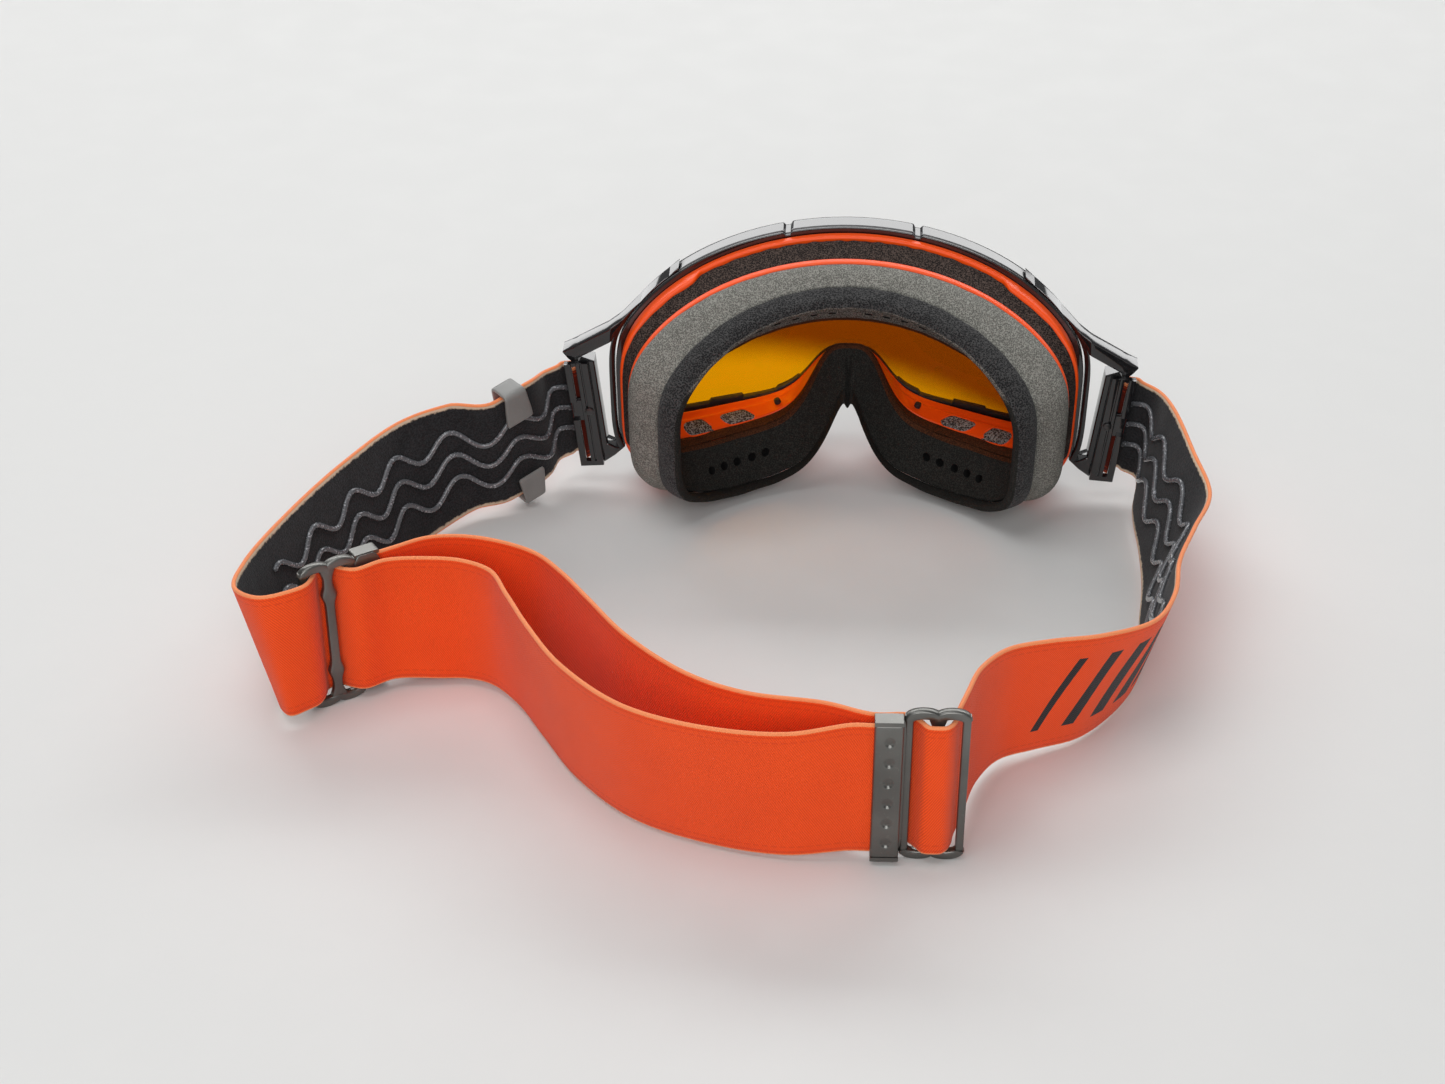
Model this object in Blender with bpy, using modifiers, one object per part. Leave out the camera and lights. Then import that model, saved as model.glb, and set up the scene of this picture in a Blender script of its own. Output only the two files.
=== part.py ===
"""Motocross goggles standing on their face foam, with the strap loop laid out behind them.

Units are metres, +Z is up, the lens looks along +Y and the strap loop lies towards -Y.
The goggles are modelled in their own upright frame and leaned back by an empty.
"""
import math
from dataclasses import dataclass, replace

import bmesh
import bpy
import numpy as np
from mathutils import Matrix, Vector

# Gaps between neighbours
CLEARANCE = 0.0003
LENS_CLEARANCE = 0.0010

# Where the goggles stand in the part's frame, and how far they lean back
GOGGLES_X = 0.0327
GOGGLES_Y = 0.1180
GOGGLES_HEIGHT = 0.0450
LEAN_BACK = math.radians(9.0)

# Outer frame
FRAME_HALF_WIDTH = 0.0810
FRAME_TOP = 0.0505
FRAME_BOTTOM = 0.0500
FRAME_FRONT = 0.0035
FRAME_REAR = 0.0050
FRAME_BEVEL = 0.0015
NOSE_RISE = 0.0390
NOSE_HALF_WIDTH = 0.0130
NOSE_POWER = 2.0
BROW_SAG = 0.0140
SIDE_LEVEL = -0.0040
BROW_POWER = 5.5
CHEEK_POWER = 3.2
WRAP_RADIUS = 0.1100
WRAP_SHARE = 0.963
BROW_NOTCH_X = 0.0225
BROW_NOTCH_WIDTH = 0.0026
BROW_NOTCH_DEPTH = 0.0012

# Lens and its carrier, inside the outer frame
LENS_SIDE_MARGIN = 0.0070
LENS_TOP_MARGIN = 0.0075
LENS_BOTTOM_MARGIN = 0.0240
LENS_NOSE_RISE = 0.0205
LENS_NOSE_HALF_WIDTH = 0.0155
EYE_NOSE_POWER = 4.0
LENS_THICKNESS = 0.0016
CARRIER_WIDTH = 0.0040
CARRIER_DEPTH = 0.0029

# Inner frame, behind the outer frame
LIP_INSET = 0.0018
LIP_DEPTH = 0.0030
CHANNEL_DEPTH = 0.0050
CHANNEL_LENGTH = 0.0100
FLANGE_INSET = 0.0055
FLANGE_TOP_INSET = 0.0035
FLANGE_THICKNESS = 0.0030
TUNNEL_INSET = 0.0170
TUNNEL_BOTTOM_INSET = 0.0282
TUNNEL_FRONT_INSET = 0.0293
TUNNEL_NOSE_RISE = 0.0345
TUNNEL_NOSE_HALF_WIDTH = 0.0140
VENT_FOAM_RECESS = 0.0008
VENT_FOAM_END = -0.0170

# Face foam, in two layers behind the flange
BASE_FOAM_DEPTH = 0.0100
FLEECE_DEPTH = 0.0080
FOAM_DRAW_IN = 0.0110
FOAM_TOP_DRAW_IN = 0.0022
FOAM_BOTTOM_DRAW_IN = 0.0034
FOAM_BULGE = 0.0012
CROWN_INSET = 0.0075
CROWN_TOP_INSET = 0.0045
FOAM_NOSE_HALF_WIDTH = 0.0085
CROWN_NOSE_RISE = 0.0395
BORE_NOSE_RISE = 0.0415

# Vent pads and pins in the floor of the tunnel
PAD_SIZE = Vector((0.14 * FRAME_HALF_WIDTH, 0.0056, 0.0016))
PAD_SHARES = {"inner": 0.62, "outer": 0.84}
PAD_DEPTH_SHARE = 0.52
PIN_RADIUS = 0.0012
PIN_HEIGHT = 0.0020
PIN_SHARE = 0.39
PIN_DEPTH_SHARE = 0.45

# Outriggers and the strap anchors pinned to their posts
OUTRIGGER_THICKNESS = 0.0060
OUTRIGGER_SLOPE = 0.40
OUTRIGGER_GAP = 0.0005
ARM_START_SHARE = 0.64
ARM_RISE = 0.0026
ARM_LEAD_SHARE = 0.16
ARM_HEIGHT = 0.0062
ARM_TIP_RISE = 0.0225
ARM_TIP = 0.0016
POST_LEAN = math.radians(5.0)
POST_INNER = 0.0040
POST_OUTER = 0.0018
POST_FOOT = 0.0225
WINDOW_MARGIN = 0.0028
RAIL_WIDTH = 0.0020
SWIVEL_X_PAST_FRAME = 0.0098
SWIVEL_Z = -0.0062
SWIVEL_PIN_RADIUS = 0.0012
SWIVEL_PIN_HEAD = 0.0008
SWIVEL_PIN_PLAY = 0.0001
ANCHOR_THICKNESS = 0.0022
ANCHOR_INNER = 0.0020
ANCHOR_SLOT_START = 0.0024
ANCHOR_SLOT_WIDTH = 0.0016
ANCHOR_BAR_WIDTH = 0.0024
ANCHOR_END_WEB = 0.0020
ANCHOR_DROP = 0.0020
ANCHOR_LIP_GAP = 0.0070

# Strap
STRAP_WIDTH = 0.0450
STRAP_END_WIDTH = 0.0400
STRAP_THICKNESS = 0.0018
STRAP_DROP = 0.0040
STRAP_ROD_RADIUS = 0.0012
STRAP_STEP = 0.0040
LAY_UNIT = 0.0005

# Strap adjusters
SLOT_WIDTH = 0.0056
BAR_WIDTH = 0.0024
ADJUSTER_THICKNESS = 0.0020
ADJUSTER_END = 0.0026
CLAMP_LENGTH = 0.0088
CRIMP_THICKNESS = 0.0012
RING_BUMP = 0.0018
LEFT_ADJUSTER = Vector((-0.0655, -0.1354))
LEFT_ADJUSTER_TURN = math.radians(35.6)
RIGHT_ADJUSTER = Vector((-0.0625, -0.2009))
RIGHT_ADJUSTER_TURN = math.radians(181.7)

# Slider clip and grip beads on the strap
SLIDER_LENGTH = 0.0080
SLIDER_WALL = 0.0014
SLIDER_ROOM = 0.0015
SLIDER_TOP_HOOK = 0.0125
SLIDER_LOWER_HOOK = 0.0100
BEAD_RADIUS = 0.0008
BEAD_PITCH = 0.0090
BEAD_DROP = 0.0005
BEAD_WAVE = 0.0240
BEAD_SWING = 0.0034
BEAD_START = 0.0040
BEAD_LENGTH = 0.1400
BEAD_POINTS_PER_WAVE = 8

# Mesh density
HALF_POINTS = 40
DENSE_POINTS = 400
LENS_COLUMNS = 24
DISC_POINTS = 12

# Colours as red, green, blue, then roughness and metallic
FINISHES = {
    "gloss_black": ((0.012, 0.012, 0.013), 0.12, 0.0),
    "orange_plastic": ((0.85, 0.10, 0.01), 0.40, 0.0),
    "amber_lens": ((0.90, 0.36, 0.02), 0.05, 0.0),
    "soft_black": ((0.015, 0.015, 0.015), 0.60, 0.0),
    "vent_foam": ((0.05, 0.04, 0.04), 0.95, 0.0),
    "grey_foam": ((0.20, 0.20, 0.18), 0.95, 0.0),
    "charcoal_fleece": ((0.045, 0.045, 0.05), 0.98, 0.0),
    "steel_pin": ((0.30, 0.30, 0.30), 0.35, 1.0),
    "orange_strap": ((0.78, 0.09, 0.02), 0.85, 0.0),
    "gunmetal": ((0.11, 0.11, 0.10), 0.40, 0.9),
    "grey_clip": ((0.20, 0.20, 0.20), 0.45, 0.0),
    "clear_silicone": ((0.16, 0.16, 0.17), 0.25, 0.0),
}


@dataclass(frozen=True)
class Outline:
    """One closed outline of the mask, seen from the front, about its mid line."""

    half_width: float
    top: float
    bottom: float
    nose_rise: float
    nose_half_width: float = NOSE_HALF_WIDTH
    nose_power: float = NOSE_POWER

    def inset(self, side, top=None, bottom=None, nose_rise=None):
        """The same outline drawn in by a margin at the sides, top and bottom."""
        return replace(
            self,
            half_width=self.half_width - side,
            top=self.top - (side if top is None else top),
            bottom=self.bottom + (side if bottom is None else bottom),
            nose_rise=self.nose_rise if nose_rise is None else nose_rise,
        )

    def upper(self, share):
        """Height of the brow at a share of the half width."""
        round_off = (1.0 - share ** BROW_POWER) ** (1.0 / BROW_POWER)
        return SIDE_LEVEL + (self.top - SIDE_LEVEL - BROW_SAG * share ** 2) * round_off

    def lower(self, share):
        """Height of the cheek and nose edge at a share of the half width."""
        round_off = (1.0 - share ** CHEEK_POWER) ** (1.0 / CHEEK_POWER)
        beside = share * self.half_width / self.nose_half_width
        nose = self.nose_rise / (1.0 + beside ** self.nose_power)
        return SIDE_LEVEL + (self.bottom - SIDE_LEVEL + nose) * round_off


def half_outline(outline, count):
    """Evenly spaced (x, z) points from the brow's middle round to the nose's middle."""
    turn = np.linspace(0.0, math.pi / 2, DENSE_POINTS)
    brow = np.sin(turn) ** (2.0 / BROW_POWER)
    cheek = np.sin(turn[::-1]) ** (2.0 / CHEEK_POWER)
    x = np.concatenate((brow, cheek[1:])) * outline.half_width
    z = np.concatenate((outline.upper(brow), outline.lower(cheek)[1:]))
    length = np.concatenate(([0.0], np.cumsum(np.hypot(np.diff(x), np.diff(z)))))
    even = np.linspace(0.0, length[-1], count + 1)
    return np.stack((np.interp(even, length, x), np.interp(even, length, z)), axis=1)


def wrap(share):
    """How far the frame curves back at a share of its half width."""
    reach = np.clip(np.abs(share), 0.0, 1.0) * FRAME_HALF_WIDTH * WRAP_SHARE
    return WRAP_RADIUS - np.sqrt(WRAP_RADIUS ** 2 - reach ** 2)


def loop_points(outline, depth, count=HALF_POINTS):
    """A closed loop of (x, y, z) points on the wrapped outline at one depth."""
    right = half_outline(outline, count)
    left = right[-2:0:-1] * (-1.0, 1.0)
    flat = np.concatenate((right, left))
    y = depth - wrap(flat[:, 0] / outline.half_width)
    return np.stack((flat[:, 0], y, flat[:, 1]), axis=1)


# The outlines of the mask, from the lens back to the face
OUTER = Outline(FRAME_HALF_WIDTH, FRAME_TOP, -FRAME_BOTTOM, NOSE_RISE)
EYES = replace(OUTER, nose_half_width=LENS_NOSE_HALF_WIDTH, nose_power=EYE_NOSE_POWER)
OPENING = EYES.inset(LENS_SIDE_MARGIN, LENS_TOP_MARGIN, LENS_BOTTOM_MARGIN, LENS_NOSE_RISE)
LIP = OUTER.inset(LIP_INSET, bottom=LIP_INSET + 0.001)
FLANGE = OUTER.inset(FLANGE_INSET, FLANGE_TOP_INSET, FLANGE_INSET - 0.001)
TUNNEL_FRONT = EYES.inset(TUNNEL_INSET, bottom=TUNNEL_FRONT_INSET, nose_rise=LENS_NOSE_RISE)
TUNNEL = Outline(
    FRAME_HALF_WIDTH - TUNNEL_INSET, FRAME_TOP - TUNNEL_INSET, TUNNEL_BOTTOM_INSET - FRAME_BOTTOM,
    TUNNEL_NOSE_RISE, TUNNEL_NOSE_HALF_WIDTH, EYE_NOSE_POWER,
)
FOAM_EDGE = replace(
    FLANGE.inset(FOAM_DRAW_IN, FOAM_TOP_DRAW_IN, FOAM_BOTTOM_DRAW_IN),
    nose_half_width=FOAM_NOSE_HALF_WIDTH,
)
CROWN = FOAM_EDGE.inset(CROWN_INSET, CROWN_TOP_INSET, FOAM_BOTTOM_DRAW_IN, CROWN_NOSE_RISE)
FRAME_BACK = -FRAME_REAR - CLEARANCE
CHANNEL_START = FRAME_BACK - LIP_DEPTH
FLANGE_START = CHANNEL_START - CHANNEL_LENGTH
FLANGE_BACK = FLANGE_START - FLANGE_THICKNESS
BASE_START = FLANGE_BACK - CLEARANCE
BASE_BACK = BASE_START - BASE_FOAM_DEPTH
FLEECE_START = BASE_BACK - CLEARANCE
FLEECE_BACK = FLEECE_START - FLEECE_DEPTH

# The strap anchors' pins, the right one, in the goggles' frame
SWIVEL_X = FRAME_HALF_WIDTH + SWIVEL_X_PAST_FRAME
ANCHOR_SLOT_END = ANCHOR_SLOT_START + ANCHOR_SLOT_WIDTH
ANCHOR_OUTER = ANCHOR_SLOT_END + ANCHOR_BAR_WIDTH
ANCHOR_HALF_HEIGHT = STRAP_END_WIDTH / 2 + 2 * CLEARANCE + ANCHOR_END_WEB
FOLD_RADIUS = STRAP_ROD_RADIUS + CLEARANCE + STRAP_THICKNESS / 2
FOLD_CENTRE = POST_OUTER + 2 * CLEARANCE + FOLD_RADIUS + STRAP_THICKNESS / 2
FOLD_DEPTH = FOLD_RADIUS + STRAP_THICKNESS / 2 + 2 * CLEARANCE

# The adjusters' bars and clamp along their length
RAIL_PITCH = SLOT_WIDTH + BAR_WIDTH
RING_END = RAIL_PITCH + BAR_WIDTH / 2
CLAMP_END = RING_END + CLAMP_LENGTH
WEAVE = ADJUSTER_THICKNESS / 2 + STRAP_THICKNESS / 2 + 4 * CLEARANCE
CLAMP_SEAT = ADJUSTER_THICKNESS / 2 + CLEARANCE + STRAP_THICKNESS / 2
CRIMP_SEAT = CLAMP_SEAT + STRAP_THICKNESS / 2 + CLEARANCE + CRIMP_THICKNESS / 2
SLOT_HALF_HEIGHT = STRAP_WIDTH / 2 + 3 * CLEARANCE
ADJUSTER_HALF_HEIGHT = SLOT_HALF_HEIGHT + ADJUSTER_END


def clear_scene():
    """Remove whatever objects the file holds."""
    for thing in list(bpy.data.objects):
        bpy.data.objects.remove(thing, do_unlink=True)


def new_collection(name):
    """A fresh collection linked to the scene."""
    group = bpy.data.collections.new(name)
    bpy.context.scene.collection.children.link(group)
    return group


def make_finishes():
    """One Principled material for each finish."""
    made = {}
    for name, (colour, roughness, metallic) in FINISHES.items():
        material = bpy.data.materials.new(name)
        material.use_nodes = True
        shader = material.node_tree.nodes["Principled BSDF"]
        shader.inputs["Base Color"].default_value = (*colour, 1.0)
        shader.inputs["Roughness"].default_value = roughness
        shader.inputs["Metallic"].default_value = metallic
        made[name] = material
    return made


class Workshop:
    """Holds the collections, finishes and the leaned empty, and adds finished objects."""

    def __init__(self):
        clear_scene()
        self.parts = new_collection("motocross_goggles")
        self.cutters = new_collection("cutters")
        self.finishes = make_finishes()
        self.goggles = self.empty("goggles_frame", None)
        self.goggles.location = (GOGGLES_X, GOGGLES_Y, GOGGLES_HEIGHT)
        self.goggles.rotation_euler = (LEAN_BACK, 0.0, 0.0)

    def empty(self, name, parent):
        """An empty that carries other objects."""
        anchor = bpy.data.objects.new(name, None)
        anchor.parent = parent
        self.parts.objects.link(anchor)
        return anchor

    def add(self, name, shape, finish, parent=None, group=None):
        """Turn a bmesh into an object with closed, outward faces."""
        bmesh.ops.remove_doubles(shape, verts=shape.verts, dist=1e-6)
        bmesh.ops.recalc_face_normals(shape, faces=shape.faces)
        mesh = bpy.data.meshes.new(name)
        shape.to_mesh(mesh)
        shape.free()
        mesh.shade_smooth()
        mesh.set_sharp_from_angle(angle=math.radians(40.0))
        thing = bpy.data.objects.new(name, mesh)
        thing.parent = parent
        mesh.materials.append(self.finishes[finish])
        (group or self.parts).objects.link(thing)
        return thing

    def add_cutter(self, name, shape, parent=None):
        """A wire-drawn object that only cuts others."""
        cutter = self.add(name, shape, "soft_black", parent, self.cutters)
        cutter.hide_render = True
        cutter.display_type = "WIRE"
        return cutter

    def cut(self, thing, cutter):
        """Take a cutter's shape out of an object."""
        boolean = thing.modifiers.new("cut_" + cutter.name, "BOOLEAN")
        boolean.operation = "DIFFERENCE"
        boolean.object = cutter

    def stand_point(self, point):
        """A point of the goggles' own frame, in the part's frame."""
        turn = Matrix.Rotation(LEAN_BACK, 3, "X")
        return turn @ Vector(point) + self.goggles.location


def split_quad(shape, a, b, c, d):
    """Two triangles on the shorter diagonal, so that facing pieces are split alike."""
    if (a.co - c.co).length < (b.co - d.co).length:
        corners = ((a, b, c), (a, c, d))
    else:
        corners = ((a, b, d), (b, c, d))
    for corner in corners:
        shape.faces.new(corner)


def skin_loops(loops, closed_section):
    """A loft through loops of points; the section is closed, or open with end caps."""
    shape = bmesh.new()
    rings = [[shape.verts.new(point) for point in loop] for loop in loops]
    count = len(rings[0])
    steps = count if closed_section else count - 1
    for here, after in zip(rings, rings[1:] + rings[:1]):
        for i in range(steps):
            j = (i + 1) % count
            split_quad(shape, here[i], here[j], after[j], after[i])
    if not closed_section:
        shape.faces.new([ring[0] for ring in rings])
        shape.faces.new([ring[-1] for ring in rings])
    return shape


def flat_plate(loops, thickness):
    """A flat outline with holes, from a filled 2D curve, in X and Z with its depth along Y."""
    curve = bpy.data.curves.new("plate", "CURVE")
    curve.dimensions = "2D"
    curve.fill_mode = "BOTH"
    curve.extrude = thickness / 2
    for loop in loops:
        spline = curve.splines.new("POLY")
        spline.points.add(len(loop) - 1)
        for point, (x, z) in zip(spline.points, loop):
            point.co = (x, z, 0.0, 1.0)
        spline.use_cyclic_u = True
    holder = bpy.data.objects.new("plate", curve)
    bpy.context.scene.collection.objects.link(holder)
    evaluated = holder.evaluated_get(bpy.context.evaluated_depsgraph_get())
    mesh = bpy.data.meshes.new_from_object(evaluated)
    bpy.data.objects.remove(holder, do_unlink=True)
    shape = bmesh.new()
    shape.from_mesh(mesh)
    bmesh.ops.remove_doubles(shape, verts=shape.verts, dist=1e-6)
    bmesh.ops.transform(shape, matrix=Matrix.Rotation(math.pi / 2, 4, "X"), verts=shape.verts)
    return shape


def box(size, place):
    """A box of a size, put at a place by a matrix."""
    shape = bmesh.new()
    bmesh.ops.create_cube(shape, size=1.0, matrix=place @ Matrix.Diagonal((*size, 1.0)))
    return shape


def disc(radius, height, place):
    """A short cylinder along its own Z, put at a place by a matrix."""
    shape = bmesh.new()
    bmesh.ops.create_cone(
        shape, cap_ends=True, segments=DISC_POINTS, radius1=radius, radius2=radius,
        depth=height, matrix=place,
    )
    return shape


def circle(radius):
    """Points of a small round hole."""
    turns = [2 * math.pi * i / DISC_POINTS for i in range(DISC_POINTS)]
    return [(radius * math.cos(turn), radius * math.sin(turn)) for turn in turns]


def build_frames(shop):
    """The outer frame, the lens and its carrier, and the inner frame."""
    rim = OPENING.inset(-FRAME_BEVEL / 2)
    outer_sections = (
        (OUTER, -FRAME_REAR), (OUTER, FRAME_FRONT - FRAME_BEVEL),
        (OUTER.inset(FRAME_BEVEL), FRAME_FRONT), (rim, FRAME_FRONT),
        (OPENING, FRAME_FRONT - FRAME_BEVEL), (OPENING, -FRAME_REAR), (LIP, -FRAME_REAR),
    )
    outer = shop.add("outer_frame", ring(outer_sections), "gloss_black", shop.goggles)
    for side in (-1, 1):
        notch_top = OUTER.upper(BROW_NOTCH_X / OUTER.half_width)
        place = Matrix.Translation((side * BROW_NOTCH_X, 0.0, notch_top))
        size = (BROW_NOTCH_WIDTH, WRAP_RADIUS, 2 * BROW_NOTCH_DEPTH)
        shop.cut(outer, shop.add_cutter(f"brow_notch_{side}", box(size, place), shop.goggles))

    build_lens(shop)
    seat = OPENING.inset(LENS_CLEARANCE)
    bore = seat.inset(CARRIER_WIDTH)
    carrier_front = -LENS_THICKNESS - CLEARANCE
    carrier_back = carrier_front - CARRIER_DEPTH
    carrier_sections = (
        (seat, carrier_back), (seat, carrier_front), (bore, carrier_front), (bore, carrier_back),
    )
    shop.add("lens_carrier", ring(carrier_sections), "soft_black", shop.goggles)

    floor = LIP.inset(CHANNEL_DEPTH)
    inner_sections = (
        (LIP, FRAME_BACK), (LIP, CHANNEL_START), (floor, CHANNEL_START),
        (FLANGE.inset(CHANNEL_DEPTH), FLANGE_START), (FLANGE, FLANGE_START),
        (FLANGE, FLANGE_BACK), (TUNNEL, FLANGE_BACK), (TUNNEL_FRONT, FRAME_BACK),
        (bore, FRAME_BACK), (OPENING, FRAME_BACK),
    )
    inner = shop.add("inner_frame", ring(inner_sections), "orange_plastic", shop.goggles)
    build_tunnel_floor(shop, inner)
    build_vent_foam(shop)
    return outer


def ring(sections):
    """A closed ring lofted through (outline, depth) sections."""
    return skin_loops([loop_points(outline, depth) for outline, depth in sections], True)


def build_lens(shop):
    """The lens: a sheet wrapped across the face, given its thickness by Solidify."""
    outline = OPENING.inset(LENS_CLEARANCE)
    height = np.sin(np.linspace(0.0, math.pi / 2, LENS_COLUMNS))
    side = (1.0 - height ** BROW_POWER) ** (1.0 / BROW_POWER)
    share = np.unique(np.round(np.concatenate((side, 1.0 - height)), 5))
    share = np.concatenate((-share[:0:-1], share))
    top = outline.upper(np.abs(share))
    bottom = outline.lower(np.abs(share))
    x = share * outline.half_width
    y = -LENS_THICKNESS / 2 - wrap(share)
    shape = bmesh.new()
    upper = [shape.verts.new(point) for point in zip(x, y, top)]
    lower = [shape.verts.new(point) for point in zip(x, y, bottom)]
    for i in range(len(share) - 1):
        shape.faces.new((lower[i], lower[i + 1], upper[i + 1], upper[i]))
    lens = shop.add("lens", shape, "amber_lens", shop.goggles)
    thickness = lens.modifiers.new("thickness", "SOLIDIFY")
    thickness.thickness = LENS_THICKNESS
    thickness.offset = 0.0


def build_vent_foam(shop):
    """The foam in the inner frame's channel, over the brow and down both sides."""
    half = half_outline(LIP, HALF_POINTS)
    reach = int(np.argmax((half[:, 0] > LIP.half_width / 2) & (half[:, 1] < VENT_FOAM_END)))
    order = list(range(-reach, reach + 1))
    seat = CHANNEL_DEPTH - CLEARANCE
    front = CHANNEL_START - CLEARANCE
    back = FLANGE_START + CLEARANCE
    sections = (
        (LIP.inset(VENT_FOAM_RECESS), front), (FLANGE.inset(VENT_FOAM_RECESS), back),
        (FLANGE.inset(seat), back), (LIP.inset(seat), front),
    )
    loops = [loop_points(outline, depth)[order] for outline, depth in sections]
    shop.add("vent_foam_top", skin_loops(loops, False), "vent_foam", shop.goggles)


def floor_point(share, depth_share):
    """A point on the tunnel's sloping floor, at shares of its half width and of its length."""
    depth = FRAME_BACK + depth_share * (FLANGE_BACK - FRAME_BACK)
    front, rear = TUNNEL_FRONT.lower(abs(share)), TUNNEL.lower(abs(share))
    height = front + depth_share * (rear - front)
    return Vector((share * TUNNEL.half_width, depth - wrap(share), height))


def tunnel_floor(share, depth_share):
    """The matrix that stands on the tunnel's floor at shares of its width and length."""
    step = 0.01
    here = floor_point(share, depth_share)
    along = (floor_point(share + step, depth_share) - here).normalized()
    across = here - floor_point(share, depth_share + step)
    up = along.cross(across).normalized()
    axes = Matrix((along, up.cross(along), up)).transposed().to_4x4()
    return Matrix.Translation(here) @ axes


def build_tunnel_floor(shop, inner):
    """The vent pads let into the tunnel's floor, and the two pins beside the nose."""
    for side, hand in ((-1, "left"), (1, "right")):
        for name, place in PAD_SHARES.items():
            stand = tunnel_floor(side * place, PAD_DEPTH_SHARE)
            lowered = stand @ Matrix.Translation((0.0, 0.0, -PAD_SIZE.z / 2 - CLEARANCE))
            shop.add(f"vent_pad_{hand}_{name}", box(PAD_SIZE, lowered), "vent_foam", shop.goggles)
            room = PAD_SIZE + Vector((1.0, 1.0, 1.0)) * 2 * CLEARANCE
            pocket_top = Matrix.Translation((0.0, 0.0, PAD_SIZE.z / 2))
            tall = box((room.x, room.y, room.z + PAD_SIZE.z), lowered @ pocket_top)
            shop.cut(inner, shop.add_cutter(f"pad_pocket_{hand}_{name}", tall, shop.goggles))
        stand = tunnel_floor(side * PIN_SHARE, PIN_DEPTH_SHARE)
        raised = stand @ Matrix.Translation((0.0, 0.0, PIN_HEIGHT / 4))
        shop.add(f"frame_pin_{hand}", disc(PIN_RADIUS, PIN_HEIGHT, raised), "soft_black",
                 shop.goggles)
        above = stand @ Matrix.Translation((0.0, 0.0, PIN_HEIGHT * 3 / 4 - CLEARANCE))
        hole = disc(PIN_RADIUS + CLEARANCE, 2 * PIN_HEIGHT, above)
        shop.cut(inner, shop.add_cutter(f"pin_hole_{hand}", hole, shop.goggles))


def build_face_foam(shop):
    """The grey base layer and the fleece layer that meets the face."""
    middle_bore = CROWN.inset(-CROWN_INSET / 4, nose_rise=BORE_NOSE_RISE)
    middle = (BASE_START + BASE_BACK) / 2
    swell = FLANGE.inset(FOAM_DRAW_IN / 2 - 3 * FOAM_BULGE, 0.0)
    base_sections = (
        (FLANGE, BASE_START), (swell, middle), (FOAM_EDGE, BASE_BACK),
        (middle_bore, BASE_BACK), (TUNNEL, BASE_START),
    )
    base = shop.add("face_foam_base", ring(base_sections), "grey_foam", shop.goggles)
    edge_depth = FLEECE_START - FLEECE_DEPTH * 0.45
    shoulder_depth = FLEECE_START - FLEECE_DEPTH * 0.85
    shoulder = FOAM_EDGE.inset(CROWN_INSET / 2, CROWN_TOP_INSET / 3, FOAM_BOTTOM_DRAW_IN / 2)
    fleece_sections = (
        (FOAM_EDGE, FLEECE_START), (FOAM_EDGE.inset(FOAM_BULGE), edge_depth),
        (shoulder, shoulder_depth), (CROWN, FLEECE_BACK),
        (CROWN.inset(FOAM_BULGE), edge_depth), (middle_bore, FLEECE_START),
    )
    fleece = shop.add("face_foam_fleece", ring(fleece_sections), "charcoal_fleece", shop.goggles)
    return base, fleece


def plate_depth(reach):
    """Depth of the outriggers' middle plane at a distance from the mid plane."""
    side = FRAME_HALF_WIDTH * WRAP_SHARE
    post = SWIVEL_X - 2 * POST_INNER
    sloped = np.clip(reach, side, post) - side
    return -wrap(np.minimum(reach, side) / side) - OUTRIGGER_SLOPE * sloped


def post_point(along, up):
    """A point beside an outrigger's post, out from its pin and up along the post."""
    x = SWIVEL_X + along * math.cos(POST_LEAN) + up * math.sin(POST_LEAN)
    z = SWIVEL_Z - along * math.sin(POST_LEAN) + up * math.cos(POST_LEAN)
    return x, z


def outrigger_loops():
    """The outrigger's outline, its window and its pin hole, seen from the front."""
    half = half_outline(OUTER.inset(-OUTRIGGER_GAP), HALF_POINTS)
    arm_start = ARM_START_SHARE * FRAME_HALF_WIDTH
    foot_z = post_point(-POST_INNER, -POST_FOOT)[1]
    first = int(np.argmax(half[:, 0] > arm_start))
    last = int(np.argmax((half[:, 0] > arm_start) & (half[:, 1] < foot_z + WINDOW_MARGIN)))
    inner = [tuple(point) for point in half[first:last]]
    tip = post_point(POST_OUTER, ARM_TIP_RISE)
    start = (inner[0][0], inner[0][1] + ARM_RISE)
    end = (tip[0] + 3 * ARM_TIP, tip[1] + ARM_TIP)

    def arm_top(share):
        return start[1] + (end[1] - start[1]) * share

    outer = [
        post_point(-POST_INNER / 2, -POST_FOOT - WINDOW_MARGIN),
        post_point(POST_OUTER, -POST_FOOT),
        post_point(POST_OUTER, -POST_INNER),
        post_point(POST_OUTER, POST_INNER),
        post_point(POST_OUTER, ARM_TIP_RISE - 2 * WINDOW_MARGIN),
        (tip[0] + 2 * ARM_TIP, tip[1] - WINDOW_MARGIN / 2),
        end,
        (start[0] + ARM_LEAD_SHARE * (end[0] - start[0]), arm_top(ARM_LEAD_SHARE)),
    ]

    def below_arm(x):
        return arm_top((x - start[0]) / (end[0] - start[0])) - ARM_HEIGHT

    low_z = foot_z + WINDOW_MARGIN
    side = [(x + RAIL_WIDTH, z) for x, z in half[first:last] if z > low_z]
    side = [point for point in side if point[1] < below_arm(point[0])]
    post_top = ARM_TIP_RISE - WINDOW_MARGIN / 2
    corner = post_point(-POST_INNER, post_top)
    window = side + [
        post_point(-POST_INNER, -POST_FOOT + 2 * WINDOW_MARGIN),
        post_point(-POST_INNER, -POST_INNER),
        post_point(-POST_INNER, POST_INNER),
        (corner[0], min(corner[1], below_arm(corner[0]))),
    ]
    hole = [
        (x + SWIVEL_X, z + SWIVEL_Z) for x, z in circle(SWIVEL_PIN_RADIUS + SWIVEL_PIN_PLAY)
    ]
    return [inner + outer, window, hole]


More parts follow.
